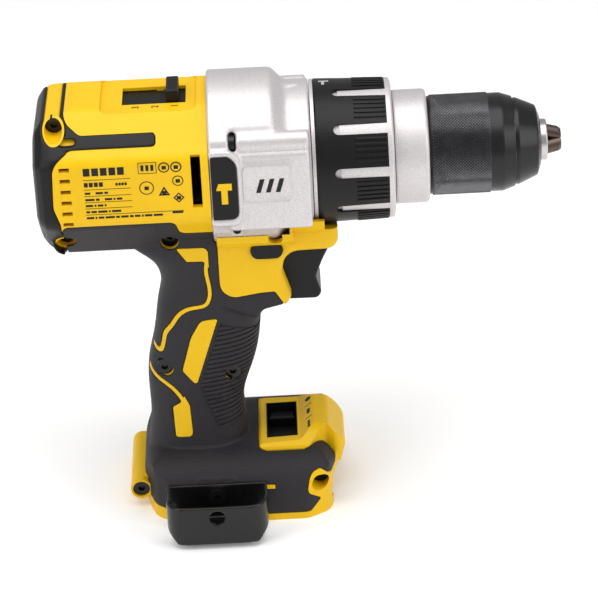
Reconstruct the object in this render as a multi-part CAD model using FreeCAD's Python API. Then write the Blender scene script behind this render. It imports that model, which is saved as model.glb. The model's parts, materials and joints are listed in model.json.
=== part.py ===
import FreeCAD, Part
import math
import os

# A cordless hammer drill, shown without its battery. Millimetres. The drive axis runs along +X
# towards the chuck, the tool stands on its foot at Z 0, and its mid-plane is Y 0.

V = FreeCAD.Vector

# ---- driving dimensions ---------------------------------------------------------------------
FOOT_HEIGHT = 27.0          # top of the foot, beside the grip
GRIP_LENGTH = 57.0          # from the foot to the lower edge of the trigger zone
TRIGGER_DROP = 72.5         # from the trigger zone's lower edge up to the drive axis
AXIS_Z = FOOT_HEIGHT + GRIP_LENGTH + TRIGGER_DROP

FOOT_REAR = -42.0
FOOT_FRONT = 42.3
FOOT_HALF = 37.0            # half of the foot's width
FOOT_SHOULDER = 19.0        # radius along the foot's upper edges
GRIP_HALF = 18.0            # half of the grip's width

SEAM_X = -5.5               # where the gear case meets the motor housing
HOUSING_LENGTH = 61.5       # motor housing, from the seam back to the rear cap
CAP_DEPTH = 10.0            # rear cap, behind the housing
PANEL_HALF = 34.8           # half width over the flat sides
PANEL_TOP = 15.5            # height of the flat sides above the axis
PANEL_BOTTOM = 13.0         # and below it
CROWN = 30.5                # flat top above the axis
REAR_BOTTOM_R = 19.0        # rounding under the rear cap
CROWN_HALF = 15.0           # half width of the flat top
BELLY = 36.0                # flat underside below the axis
BELLY_HALF = 13.0
SHELL = 3.0                 # wall of the plastic shells
SKIN = 1.2                  # thickness of the rubber moulded over them

BLOCK_HALF = 19.5           # half width of the trigger housing
SHELF_FRONT = 46.0          # front of the trigger housing, under the collar

GEAR_CASE_R = 36.0
GEAR_CASE_LENGTH = 42.0
CASE_NECK_R = 30.5
CASE_PAD_HALF = 32.6        # half width over the case's flat side pads
CASE_BORE_R = 22.5
COLLAR_LENGTH = 33.6
COLLAR_R = 30.1
COLLAR_TAPER = 1.0
COLLAR_BORE_R = 24.4
COLLAR_WINDOWS = 10
NOSE_LENGTH = 14.2
NOSE_R = 23.7
CHUCK_LENGTH = 35.3         # turning sleeve
CHUCK_R = 20.5
CHUCK_HOOD_LENGTH = 10.9
CHUCK_NOSE_R = 8.6
CHUCK_NOSE_LENGTH = 2.8
RUNNING_GAP = 0.05          # radial clearance of a shaft that turns in a bore
SLIDE_GAP = 0.25            # clearance round plastic pieces that slide
PART_GAP = 0.3              # gap between rings that turn against each other

TUBE_R = 16.5               # clutch tube on the front of the gear case
TUBE_BORE_R = 13.0
SPINDLE_R = 6.3
MODULE = 0.8                # gear tooth size
RING_TEETH = 48
SUN_TEETH = 12
PLANET_TEETH = 18
SUN2_TEETH = 18
PLANET2_TEETH = 15
PLANETS = 3
PLANET_PIN_R = 2.0
PLANET_WIDTH = 6.0
CARRIER_R = 17.5
CARRIER_THICK = 2.0

STATOR_R = 25.5
STATOR_LENGTH = 32.0
ROTOR_R = 13.2
SHAFT_R = 2.5
BEARING_R = 8.0
FAN_R = 24.0

JAW_R = 3.0
JAW_ANGLE = 15.0
JAW_LENGTH = 31.0
JAW_TIP_OFFSET = 2.1        # jaw axis to drive axis, at the closed tip
JAW_REACH = 5.9             # closed jaws beyond the chuck's nose

TRIGGER_TRAVEL = 7.0
TRIGGER_HALF = 11.0
SELECTOR_TRAVEL = 15.4
LEVER_TRAVEL = 3.2
MODE_TRAVEL = 9.0
CLUTCH_TRAVEL = 5.0

SCREW_R = 2.0
SCREW_HEAD_R = 3.6
SCREW_HEAD = 2.4            # thickness of a screw's head
SCREW_GAP = 0.1             # radial clearance round screws
POD_HALF = 22.3             # half width of the lamp pod's frame
POD_FRONT = 46.0
BAY_HALF = 27.0             # battery bay between the foot's side walls
BAY_HEIGHT = 13.5
BAY_REAR = -30.0
HOOK_WIDTH = 43.0
HOOK_HEIGHT = 20.4
HOOK_THICK = 2.0
HOOK_REACH = 21.0           # belt hook, out from the foot's side
HOOK_X = -10.6              # belt hook's fixing screw
HOOK_Z = 15.2

RIBBON_STEPS = 40
PIPING = 1.5                # width of the yellow piping

CAP_X = SEAM_X - HOUSING_LENGTH
REAR_X = CAP_X - CAP_DEPTH
NECK_X = SEAM_X + GEAR_CASE_LENGTH
COLLAR_X = NECK_X + PART_GAP
NOSE_X = COLLAR_X + COLLAR_LENGTH + PART_GAP
CHUCK_X = NOSE_X + NOSE_LENGTH + PART_GAP
HOOD_X = CHUCK_X + CHUCK_LENGTH + PART_GAP
CHUCK_NOSE_X = HOOD_X + CHUCK_HOOD_LENGTH
TIP_X = CHUCK_NOSE_X + CHUCK_NOSE_LENGTH + JAW_REACH


# ---- small makers ---------------------------------------------------------------------------
def below(drop):
    """Height of a place that hangs this far under the drive axis."""
    return AXIS_Z - drop


def grip(share):
    """Height at a share of the grip's length: 0 at the foot, 1 at the trigger zone."""
    return FOOT_HEIGHT + share * GRIP_LENGTH


def disc(x0, x1, radius, y=0.0, z=AXIS_Z):
    return Part.makeCylinder(radius, x1 - x0, V(x0, y, z), V(1, 0, 0))


def ring(x0, x1, outer, inner, y=0.0, z=AXIS_Z):
    return disc(x0, x1, outer, y, z).cut(disc(x0 - 1, x1 + 1, inner, y, z))


def cone(x0, x1, r0, r1):
    return Part.makeCone(r0, r1, x1 - x0, V(x0, 0, AXIS_Z), V(1, 0, 0))


def rod_y(x, z, radius, y0, y1):
    return Part.makeCylinder(radius, y1 - y0, V(x, y0, z), V(0, 1, 0))


def rod_z(x, y, radius, z0, z1):
    return Part.makeCylinder(radius, z1 - z0, V(x, y, z0), V(0, 0, 1))


def block(x0, x1, y0, y1, z0, z1):
    return Part.makeBox(x1 - x0, y1 - y0, z1 - z0, V(x0, y0, z0))


def join(shapes):
    first = shapes[0]
    if len(shapes) == 1:
        return first
    return first.fuse(shapes[1:]).removeSplitter()


def both_sides(shape):
    """The shape and its mirror image across the mid-plane."""
    return shape.fuse(mirrored(shape))


def mirrored(shape):
    return shape.mirror(V(0, 0, 0), V(0, 1, 0))


def turned_copies(shape, count, start=0.0):
    """Copies of a shape spaced round the drive axis, the first turned by start degrees."""
    copies = []
    for i in range(count):
        copy = shape.copy()
        copy.rotate(V(0, 0, AXIS_Z), V(1, 0, 0), start + i * 360.0 / count)
        copies.append(copy)
    return copies


def corner(before, here, after, radius):
    """Start, middle and end of the arc that rounds one corner of an outline."""
    back = (before - here).normalize()
    ahead = (after - here).normalize()
    half = back.getAngle(ahead) / 2
    middle = (back + ahead).normalize()
    reach = radius / math.tan(half)
    centre = here + middle * (radius / math.sin(half))
    return here + back * reach, centre - middle * radius, here + ahead * reach


def outline(points, place):
    """Face inside corner points (a, b) or (a, b, radius); place(a, b) puts a point in space."""
    count = len(points)
    flat = [V(p[0], p[1], 0) for p in points]
    stretches = []
    for i, point in enumerate(points):
        if len(point) == 3 and point[2] > 0:
            stretches.append(corner(flat[i - 1], flat[i], flat[(i + 1) % count], point[2]))
        else:
            stretches.append((flat[i],))
    edges = []
    for i, stretch in enumerate(stretches):
        spots = [place(p.x, p.y) for p in stretch]
        if len(spots) == 3:
            edges.append(Part.Arc(*spots).toShape())
        following = stretches[(i + 1) % count][0]
        if (following - stretch[-1]).Length > 1e-6:
            edges.append(Part.LineSegment(spots[-1], place(following.x, following.y)).toShape())
    return Part.Face(Part.Wire(edges))


def plate_y(points, y0, y1):
    """Side outline of (x, z) corners, thickened from y0 to y1."""
    return outline(points, lambda x, z: V(x, y0, z)).extrude(V(0, y1 - y0, 0))


def plate_x(points, x0, x1):
    """Cross-section of (y, z) corners, thickened from x0 to x1."""
    return outline(points, lambda y, z: V(x0, y, z)).extrude(V(x1 - x0, 0, 0))


def plate_z(points, z0, z1):
    """Plan of (x, y) corners, thickened from z0 to z1."""
    return outline(points, lambda x, y: V(x, y, z0)).extrude(V(0, 0, z1 - z0))


def ribbon(path, width, y0, y1):
    """Strip of even width along a smooth side line of (x, z) points, thickened from y0 to y1."""
    middle = Part.BSplineCurve()
    middle.interpolate([V(x, y0, z) for x, z in path])
    first, last = middle.FirstParameter, middle.LastParameter
    edges = []
    for side in (1, -1):
        spots = []
        for i in range(RIBBON_STEPS + 1):
            at = first + (last - first) * i / RIBBON_STEPS
            spots.append(middle.value(at) + middle.tangent(at)[0].cross(V(0, side, 0)) * (width / 2))
        edge = Part.BSplineCurve()
        edge.interpolate(spots)
        edges.append(edge.toShape())
    ends = []
    for index in (0, 1):
        ends.append(Part.LineSegment(edges[0].Vertexes[index].Point, edges[1].Vertexes[index].Point).toShape())
    wire = Part.Wire(Part.__sortEdges__(edges + ends))
    return Part.Face(wire).extrude(V(0, y1 - y0, 0))


def turned(points):
    """Solid turned about the drive axis from (x, radius) corners."""
    face = outline(points, lambda x, r: V(x, 0, AXIS_Z + r))
    return face.revolve(V(0, 0, AXIS_Z), V(1, 0, 0), 360)


def coil(x0, x1, radius, wire, turns, y=0.0, z=AXIS_Z):
    """Spring along X, its wire's centre line between x0 and x1."""
    path = Part.makeHelix((x1 - x0) / turns, x1 - x0, radius)
    section = Part.Wire([Part.makeCircle(wire, V(radius, 0, 0), V(0, 1, 0))])
    spring = Part.Wire(path.Edges).makePipeShell([section], True, True)
    spring.rotate(V(0, 0, 0), V(0, 1, 0), 90)
    spring.translate(V(x0, y, z))
    return spring


def recessed_screw(x, z, y_head, y_end):
    """Screw across the mid-plane: its head at y_head, its tip at y_end."""
    way = 1 if y_end > y_head else -1
    head_end = y_head + way * SCREW_HEAD
    head = rod_y(x, z, SCREW_HEAD_R, min(y_head, head_end), max(y_head, head_end))
    shank = rod_y(x, z, SCREW_R, min(head_end, y_end), max(head_end, y_end))
    socket = rod_y(x, z, 1.5, min(y_head - way, y_head + way * 1.5), max(y_head - way, y_head + way * 1.5))
    return head.fuse(shank).cut(socket)


# ---- outer form of the plastic body ---------------------------------------------------------
def housing_section(x, inset):
    """Cross-section of the motor housing at x, drawn in by inset."""
    right = [
        (CROWN_HALF, AXIS_Z + CROWN, 9.0),
        (PANEL_HALF, AXIS_Z + PANEL_TOP, 7.0),
        (PANEL_HALF, AXIS_Z - PANEL_BOTTOM, 9.0),
        (BELLY_HALF, AXIS_Z - BELLY, 10.0),
    ]
    left = [(-y, z, r) for y, z, r in reversed(right)]
    wire = outline(right + left, lambda y, z: V(x, y, z)).OuterWire
    return wire.makeOffset2D(-inset) if inset else wire


def housing_form(inset):
    """Motor housing and rear cap, closed and rounded at the back, top and bottom."""
    rounding = [(0.0, 6.5), (1.2, 3.4), (3.6, 1.0), (7.5, 0.0)]
    sections = [housing_section(REAR_X + inset + dx, inset + inward) for dx, inward in rounding]
    sections.append(housing_section(SEAM_X, inset))
    side = [
        (REAR_X + inset, AXIS_Z - BELLY - 1, REAR_BOTTOM_R), (REAR_X + inset, AXIS_Z + CROWN - 9.0, 8.0),
        (CAP_X - 6.0, AXIS_Z + CROWN - 2.8 - inset, 4.0), (CAP_X + 3.4, AXIS_Z + CROWN - 0.7 - inset),
        (CAP_X + 10.0, AXIS_Z + CROWN + 1), (SEAM_X + 1, AXIS_Z + CROWN + 1), (SEAM_X + 1, AXIS_Z - BELLY - 1),
    ]
    return Part.makeLoft(sections, True, True).common(plate_y(side, -60, 60))


def grip_section(height, rear, front, half, inset):
    """Rounded cross-section of the grip: a squared-off ellipse."""
    squareness = 2.7
    rear_in = rear + inset
    front_in = front - inset
    middle = (rear_in + front_in) / 2
    reach = (front_in - rear_in) / 2
    points = []
    for i in range(28):
        turn = 2 * math.pi * i / 28
        c = math.cos(turn)
        s = math.sin(turn)
        along = math.copysign(abs(c) ** (2 / squareness), c)
        across = math.copysign(abs(s) ** (2 / squareness), s)
        points.append(V(middle + reach * along, (half - inset) * across, height))
    curve = Part.BSplineCurve()
    curve.interpolate(Points=points, PeriodicFlag=True)
    return Part.Wire([curve.toShape()])


def grip_form(inset):
    """The grip, from inside the foot to inside the motor housing, flared at both ends."""
    rows = [
        (grip(-0.25), -41.0, 6.5, GRIP_HALF + 2.2),
        (grip(0.02), -39.2, 3.6, GRIP_HALF + 0.9),
        (grip(0.18), -38.0, 2.4, GRIP_HALF),
        (grip(0.40), -38.0, 3.2, GRIP_HALF - 0.3),
        (grip(0.62), -37.4, 7.6, GRIP_HALF),
        (grip(0.84), -34.4, 10.6, GRIP_HALF + 0.2),
        (below(64.5), -31.4, 13.0, GRIP_HALF + 0.6),
        (below(55.0), -29.6, 16.0, GRIP_HALF + 1.0),
        (below(48.0), -30.6, 18.0, GRIP_HALF + 1.2),
        (below(43.0), -33.4, 19.0, GRIP_HALF + 1.6),
        (below(38.5), -38.5, 20.0, GRIP_HALF + 2.0),
        (below(33.0), -44.0, 20.0, GRIP_HALF + 2.2),
        (below(25.5), -48.0, 20.0, GRIP_HALF + 2.4),
    ]
    sections = [grip_section(z, rear, front, half, inset) for z, rear, front, half in rows]
    return Part.makeLoft(sections, True, False)


def trigger_block_form(inset):
    """Trigger housing: from the seam forwards, arched over the trigger, to the shelf's front."""
    side = [
        (-6.0, below(27.0)),
        (-6.0, below(62.0), 3.0),
        (11.0, below(69.0), 2.0),
        (13.0, below(64.5), 3.0),
        (23.6, below(62.0), 1.4),
        (25.4, below(58.5), 1.4),
        (22.0, below(47.0), 6.0),
        (23.5, below(37.5), 7.0),
        (SHELF_FRONT, below(37.0), 5.0),
        (SHELF_FRONT, below(27.0)),
    ]
    face = outline(side, lambda x, z: V(x, 0, z))
    if inset:
        face = Part.Face(face.OuterWire.makeOffset2D(-inset))
    half = BLOCK_HALF - inset
    solid = face.extrude(V(0, half, 0))
    if inset < 2:
        rims = [e for e in solid.Edges if min(v.Y for v in e.Vertexes) > half - 0.01]
        keep = [e for e in rims if max(v.Z for v in e.Vertexes) < below(27.0) - inset - 0.01]
        solid = solid.makeFillet(3.2 - inset, keep)
    return solid.fuse(mirrored(solid)).removeSplitter()


def saddle_form():
    """Lip of the trigger housing that hugs the underside of the gear case."""
    hug = disc(SEAM_X + 1.2, SEAM_X + 33.0, GEAR_CASE_R + 2.6).fuse(
        disc(SEAM_X + 1.2, NECK_X + 4.0, CASE_NECK_R + 3.6))
    return hug.common(block(SEAM_X, NECK_X + 4.0, -26.0, 26.0, below(45.0), below(20.0)))


def foot_form(inset):
    """The foot: a slab with deep round shoulders, cut to its side profile."""
    half = FOOT_HALF - inset
    top = FOOT_HEIGHT - inset
    shoulder = FOOT_SHOULDER - inset
    across = plate_x([(half, 0.0), (half, top, shoulder), (-half, top, shoulder), (-half, 0.0)],
                     FOOT_REAR - 8, FOOT_FRONT + 5)
    side = [
        (FOOT_REAR + inset + 1.5, 0.0),
        (FOOT_REAR + inset, 6.0, 2.0),
        (FOOT_REAR + inset, top, 11.0 - inset),
        (FOOT_FRONT - 8.3 - inset, top, 8.0 - inset),
        (FOOT_FRONT - inset, 17.0, 5.0),
        (FOOT_FRONT - inset, 0.0),
    ]
    near = [(FOOT_FRONT, -12.0, 8.0), (FOOT_FRONT - 4.8, -31.0, 9.0), (FOOT_FRONT - 14.3, -FOOT_HALF, 9.0),
            (FOOT_REAR + 15.0, -FOOT_HALF, 10.0), (FOOT_REAR + 4.5, -29.0, 9.0), (FOOT_REAR, -14.0, 8.0)]
    far = [(x, -y, r) for x, y, r in reversed(near)]
    plan = outline(near + far, lambda x, y: V(x, y, -1)).OuterWire
    if inset:
        plan = plan.makeOffset2D(-inset)
    footprint = Part.Face(plan).extrude(V(0, 0, FOOT_HEIGHT + 2))
    boss = block(HOOK_X - 7.5 + inset, HOOK_X + 7.5 - inset, -half, half,
                 HOOK_Z - 4.4 + inset, HOOK_Z + 4.4 - inset)
    slab = across.common(plate_y(side, -FOOT_HALF - 1, FOOT_HALF + 1)).common(footprint)
    return slab.fuse(boss).removeSplitter()


def body_form(inset, side):
    """The whole plastic body on one side of the mid-plane, drawn in by inset."""
    forms = (housing_form(inset), grip_form(inset), trigger_block_form(inset), foot_form(inset))
    return join([form.common(side) for form in forms])


# ---- colour split ---------------------------------------------------------------------------
def cap_region():
    """Side outline of everything the black rear cap covers, with its forward arm."""
    arm_front = CAP_X + 40.7
    arm_top = AXIS_Z + 23.4
    arm_bottom = AXIS_Z + 19.2
    return plate_y([
        (REAR_X - 5, AXIS_Z - 50), (CAP_X, AXIS_Z - 50), (CAP_X, AXIS_Z - PANEL_BOTTOM + 1.5, 5.0),
        (CAP_X - 2.4, AXIS_Z - 4.0, 9.0), (CAP_X - 1.6, AXIS_Z + 14.5, 7.0),
        (CAP_X + 5.5, arm_bottom, 5.0), (arm_front, arm_bottom, 1.5), (arm_front, arm_top, 1.5),
        (CAP_X + 9.5, arm_top, 5.0), (CAP_X + 3.4, AXIS_Z + 27.5, 5.0), (CAP_X + 3.4, AXIS_Z + 60),
        (REAR_X - 5, AXIS_Z + 60),
    ], -60, 60)


def rubber_region():
    """Side outline of the rubber overmould: under the motor, round the grip and over the foot."""
    upper = plate_y([
        (CAP_X, below(PANEL_BOTTOM), 3.0), (SEAM_X - 15.0, below(PANEL_BOTTOM), 3.0),
        (SEAM_X - 13.5, below(22.0), 3.0), (SEAM_X + 1.2, below(22.3)),
        (SEAM_X + 1.2, below(53.0), 6.0), (SEAM_X + 6.0, below(57.0), 6.0),
        (12.0, below(55.2)), (18.5, below(54.8), 1.5), (22.0, below(60.5)),
        (22.6, below(70.0)), (22.6, grip(0.3)), (22.6, grip(-0.2)),
        (FOOT_REAR - 5, grip(-0.2)), (FOOT_REAR - 5, below(60.0)), (CAP_X, below(60.0)),
    ], -60, 60)
    foot = plate_y([
        (FOOT_REAR - 1, 5.6), (FOOT_REAR + 9.0, 5.6, 3.0), (FOOT_REAR + 13.0, 3.0, 3.0), (29.0, 3.0, 2.0),
        (33.9, 7.9, 1.0), (28.0, 12.5, 3.0), (29.6, 20.0, 5.0), (34.5, 21.6, 2.5), (38.3, 16.8),
        (40.4, 17.0), (41.4, 22.0), (36.0, 30.0), (33.0, grip(0.2)), (FOOT_REAR - 1, grip(0.2)),
    ], -60, 60)
    return upper.fuse(foot)


def yellow_islands():
    """Tabs, piping and windows of the yellow shell that show through the rubber on each side."""
    tab = [(-21.6, below(32.5), 0.5), (-8.5, below(32.5), 2.5), (-8.5, below(42.0)),
           (-10.0, below(42.0)), (-10.0, below(38.8), 1.5), (-17.5, below(38.8))]
    upper_pipe = [(-9.25, below(40.0)), (-9.25, below(49.0)), (-9.3, below(57.4)), (-10.6, below(59.8)),
                  (-17.0, below(61.8)), (-22.6, below(65.5)), (-26.2, below(71.2)),
                  (-28.6, grip(0.96)), (-30.4, grip(0.84)), (-31.9, grip(0.800)),
                  (-34.0, grip(0.81)), (-36.6, grip(0.88))]
    lower_tab = [(-22.6, grip(0.44)), (-20.6, grip(0.36), 3.0), (-20.0, grip(0.10), 2.0),
                 (-27.3, grip(0.095), 1.0), (-27.8, grip(0.345), 1.5), (-24.6, grip(0.38))]
    lower_pipe = [(-23.3, grip(0.40)), (-26.2, grip(0.485)), (-28.9, grip(0.53)),
                  (-33.6, grip(0.58)), (-37.6, grip(0.655))]
    window = [(-13.5, grip(1.08), 4.0), (-6.3, grip(1.09), 0.6), (-17.0, grip(0.535), 1.0),
              (-22.6, grip(0.66), 2.0), (-18.0, grip(0.94), 12.0)]
    shapes = []
    for points in (tab, lower_tab, window):
        shapes.append(plate_y(points, -60, -6.0))
    for path in (upper_pipe, lower_pipe):
        shapes.append(ribbon(path, PIPING, -60, -6.0))
    return both_sides(shapes[0].fuse(shapes[1:]))


def pod_plan(z0, z1):
    """Plan of the yellow lamp pod: its frame, drawn in behind the nose."""
    near = [(8.2, -POD_HALF, 3.5), (28.8, -POD_HALF, 4.0), (36.6, -12.0, 2.0), (FOOT_FRONT, -15.0, 3.0),
            (POD_FRONT, -10.0, 6.0)]
    return plate_z(near + [(x, -y, r) for x, y, r in reversed(near)], z0, z1)


def pod_form():
    """Raised body of the lamp pod: frame, cross ridge and sloped nose."""
    side = [
        (8.2, FOOT_HEIGHT - 10), (8.2, FOOT_HEIGHT + 0.9, 1.5), (26.0, FOOT_HEIGHT + 1.6, 3.0),
        (31.5, FOOT_HEIGHT + 5.8, 4.0), (37.5, FOOT_HEIGHT + 5.8, 4.0),
        (POD_FRONT, FOOT_HEIGHT - 4.0, 5.0), (POD_FRONT - 3.0, BAY_HEIGHT + 1.0), (30.0, BAY_HEIGHT + 1.0),
    ]
    slab = plate_y(side, -30, 30)
    round_back = plate_x([(POD_HALF, 0.0), (POD_HALF, FOOT_HEIGHT - 1.6, 3.0), (14.0, FOOT_HEIGHT + 5.8, 10.0),
                          (-14.0, FOOT_HEIGHT + 5.8, 10.0), (-POD_HALF, FOOT_HEIGHT - 1.6, 3.0),
                          (-POD_HALF, 0.0)], 0, FOOT_FRONT + 10)
    return slab.common(round_back).common(pod_plan(0, 60))


# ---- plastic shells -------------------------------------------------------------------------
REAR_SCREWS = [(CAP_X - 0.8, AXIS_Z + CROWN - 5.4), (CAP_X + 0.5, below(25.0))]
SCREW_POINTS = [            # screws that close the two halves: (x, height)
    (-24.0, below(29.0)), (-30.2, grip(0.67)), (-1.3, grip(0.605)),
    (33.7, 15.5), (FOOT_REAR - 1.8, 9.0),
] + REAR_SCREWS
POST_R = SCREW_HEAD_R + 0.9
ARM_DEPTH = 2.0             # thickness of the cap's arms, let into the shells
FOOT_LUG_HALF = 21.0        # half length of the lug behind the foot
CASE_SCREWS = [(27.5, AXIS_Z + 18.0), (25.5, AXIS_Z - 19.0)]    # left side's (y, height)
CORNER_SCREW_LENGTH = 16.0
CASE_FLANGE = 8.5           # gear case flange's thickness under its screw heads
PLATE_STEP = 0.6            # height of the raised plate on the case's side pads
TRIGGER_SLOT_X = 11.5


def battery_bay():
    """Space the battery's rails slide into, open below and in front, with its rail grooves."""
    hollow = block(BAY_REAR, FOOT_FRONT + 10, -BAY_HALF + 3.0, BAY_HALF - 3.0, -1.0, BAY_HEIGHT)
    groove = block(BAY_REAR + 4.0, FOOT_FRONT + 10, -BAY_HALF, BAY_HALF, 4.2, 8.6)
    return hollow.fuse(groove)


def housing_hollow():
    """The spaces taken out of the plastic shells: motor bore, grip, switch and foot."""
    inner_foot = foot_form(SHELL).common(
        block(FOOT_REAR, FOOT_FRONT - 10, -FOOT_HALF, FOOT_HALF, BAY_HEIGHT + 2.0, FOOT_HEIGHT))
    over_bay = block(REAR_X, SHELF_FRONT, -FOOT_HALF, FOOT_HALF, BAY_HEIGHT + 2.0, AXIS_Z)
    return [housing_form(SHELL), grip_form(SHELL).common(over_bay), trigger_block_form(SHELL), inner_foot]


def housing_openings():
    """Slots for the trigger, lever, speed slide, lamp switch, vents and the gear case."""
    trigger_slot = block(TRIGGER_SLOT_X, SHELF_FRONT, -TRIGGER_HALF - SLIDE_GAP,
                         TRIGGER_HALF + SLIDE_GAP, below(66.0), below(36.8))
    lever_slot = lever_bar(LEVER_X, SLIDE_GAP, BLOCK_HALF + 5)
    speed_slot = block(SELECTOR_X - SELECTOR_TRAVEL - 5.4, SELECTOR_X + 5.4, -8.5, 8.5,
                       AXIS_Z + CROWN - SHELL - 2, AXIS_Z + CROWN + 5)
    speed_track = block(SELECTOR_X - SELECTOR_TRAVEL - 21.4, SELECTOR_X + 5.4, -8.5, 8.5,
                        AXIS_Z + CROWN - SHELL - 2, AXIS_Z + CROWN - SHELL)
    dip = (SEAM_X - 43.5, SEAM_X - 4.0)
    speed_dip = plate_z([(dip[0], -17, 3), (dip[1], -17, 3), (dip[1], 17, 3), (dip[0], 17, 3)],
                        AXIS_Z + CROWN - 1.6, AXIS_Z + CROWN + 5)
    lamp_window = block(POD_WINDOW[0], POD_WINDOW[1], -POD_WINDOW[2], POD_WINDOW[2],
                        POD_FLOOR, FOOT_HEIGHT + 20)
    vents = []
    for row in range(6):
        z = AXIS_Z + 13.0 - row * 4.9
        vents.append(block(CAP_X + 1.0, CAP_X + 5.2, PANEL_HALF - SHELL - 2, PANEL_HALF + 2, z - 0.85, z + 0.85))
    vents.append(block(SEAM_X - 7.2, SEAM_X - 3.2, PANEL_HALF - SHELL - 2, PANEL_HALF + 2,
                       AXIS_Z - 6.5, AXIS_Z + 16.5))
    vent_pair = both_sides(vents[0].fuse(vents[1:]))
    case_seat = disc(SEAM_X, SEAM_X + 31.5, GEAR_CASE_R + SLIDE_GAP).fuse(
        disc(SEAM_X, SHELF_FRONT + 20, CASE_NECK_R + SLIDE_GAP + 0.4))
    finger_dip = both_sides(rod_y(20.0, below(26.8), 3.0, BLOCK_HALF + 0.6, BLOCK_HALF + 10))
    return join([trigger_slot, lever_slot, speed_slot, speed_track, speed_dip, lamp_window, vent_pair,
                 case_seat, finger_dip, battery_bay()])


def screw_bosses():
    """Posts inside the shells round the closing screws, and the ribs that hold the motor."""
    posts = [rod_y(x, z, SCREW_HEAD_R + 1.6, -FOOT_HALF, FOOT_HALF) for x, z in SCREW_POINTS[:3]]
    ribs = []
    for x in (STATOR_X + 3.0, STATOR_X + STATOR_LENGTH - 6.0):
        ribs.append(ring(x, x + 3.0, PANEL_HALF + 3, STATOR_R))
    ribs.append(ring(SEAM_X - 3.0, SEAM_X, PANEL_HALF + 3, FAN_R + 3.0))
    keep = block(REAR_X, SHELF_FRONT, -FOOT_HALF, FOOT_HALF, below(32.0), AXIS_Z + CROWN)
    rib_set = ribs[0].fuse(ribs[1:]).common(keep)
    tunnel = disc(REAR_X, SEAM_X + 1, STATOR_R + 0.8)
    return posts[0].fuse(posts[1:]).cut(tunnel), rib_set


def screw_holes():
    """Through holes and head recesses of the closing screws, all driven from the right side."""
    holes = []
    for x, z in SCREW_POINTS:
        holes.append(rod_y(x, z, SCREW_R + SCREW_GAP, -FOOT_HALF - 5, 12.0))
        holes.append(rod_y(x, z, SCREW_HEAD_R + SCREW_GAP, -FOOT_HALF - 5, screw_seat(x, z)))
    return holes[0].fuse(holes[1:])


def screw_seat(x, z):
    """Depth at which a closing screw's head sits."""
    if (x, z) in REAR_SCREWS:
        return -13.5
    if x < FOOT_REAR:
        return -FOOT_LUG_HALF + 3.5
    if z < FOOT_HEIGHT:
        return -FOOT_HALF + 13.0
    if z > below(30.0):
        return -12.5
    return -11.5


def rear_posts(past=False):
    """Posts of the shells that carry the rear cap on the two rear screws."""
    posts = [rod_y(x, z, POST_R, -FOOT_HALF, FOOT_HALF) for x, z in REAR_SCREWS]
    both = posts[0].fuse(posts[1])
    return both if past else both.common(housing_form(0.0))


def foot_lug():
    """Lug behind the foot that takes its rear screw."""
    x, z = SCREW_POINTS[4]
    lug = rod_y(x, z, 4.6, -FOOT_LUG_HALF, FOOT_LUG_HALF)
    return lug.fuse(block(x, FOOT_REAR + 4.0, -FOOT_LUG_HALF + 3, FOOT_LUG_HALF - 3, z - 4.6, z + 4.6))


def corner_places(spots):
    """The given places on the left side and their mirror images on the right."""
    return spots + [(-y, z) for y, z in spots]


def case_bosses():
    """Posts of the shells that take the gear case's screws."""
    ahead = [disc(SEAM_X - CORNER_SCREW_LENGTH + CASE_FLANGE - 2, SEAM_X, 4.6, y, z)
             for y, z in corner_places(CASE_SCREWS)]
    return ahead[0].fuse(ahead[1:]).common(housing_form(2.0)).cut(disc(REAR_X, SEAM_X + 1, STATOR_R + 0.8))


def case_screw_holes():
    holes = []
    for y, z in corner_places(CASE_SCREWS):
        holes.append(disc(SEAM_X + CASE_FLANGE - CORNER_SCREW_LENGTH, SEAM_X + 1, SCREW_R + SCREW_GAP, y, z))
    return holes[0].fuse(holes[1:])


def pod_well():
    """Walls round the lamp switch's window, down to its track."""
    x0, x1, half = POD_WINDOW
    return block(x0 - 1.6, x1 + 1.6, -half - 1.6, half + 1.6, POD_FLOOR, FOOT_HEIGHT)


def make_half(side):
    """One yellow half and its rubber overmould, both inside the half-space side."""
    form = body_form(0.0, side)
    skin = form.cut(body_form(SKIN, side))
    cap_side = cap_region()
    behind = block(REAR_X - 5, CAP_X, -60, 60, below(60.0), AXIS_Z + 60)
    cap_shape = housing_form(0.0).common(side).common(cap_side)
    cap_arms = cap_shape.cut(behind).cut(housing_form(ARM_DEPTH))
    rubber = skin.common(rubber_region()).cut(yellow_islands()).cut(pod_plan(10.0, 60.0)).cut(cap_side)
    rubber = rubber.cut(both_sides(block(9.0, 14.2, 30, 60, 14.9, 16.3)))
    trims = [piece.common(side) for piece in (pod_form(), saddle_form(), foot_lug())]
    shell = join([form.cut(cap_shape.common(behind)).cut(cap_arms)] + trims).cut(rubber)
    posts, ribs = screw_bosses()
    inside = body_form(SHELL - 0.6, side)
    inner = join([hollow.common(side) for hollow in housing_hollow()])
    inner = inner.cut(posts.common(inside)).cut(ribs.common(inside)).cut(pod_well())
    cuts = housing_openings().fuse([hook_screw_hole(), case_screw_holes(), lens_form(0.0)])
    shell = shell.cut(inner)
    rear = rear_posts().common(side).cut(rubber)
    shell = shell.fuse([case_bosses().common(side), rear]).removeSplitter()
    return shell.cut(cuts).cut(screw_holes()), rubber.cut(cuts).cut(screw_holes())


def make_shells():
    """Both halves of the yellow shell, with their overmoulds."""
    right_shell, right_rubber = make_half(block(-200, 200, -100, 0, -10, 300))
    left_shell, left_rubber = make_half(block(-200, 200, 0, 100, -10, 300))
    return {"housing_right": right_shell, "overmould_right": right_rubber,
            "housing_left": left_shell, "overmould_left": left_rubber}


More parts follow.
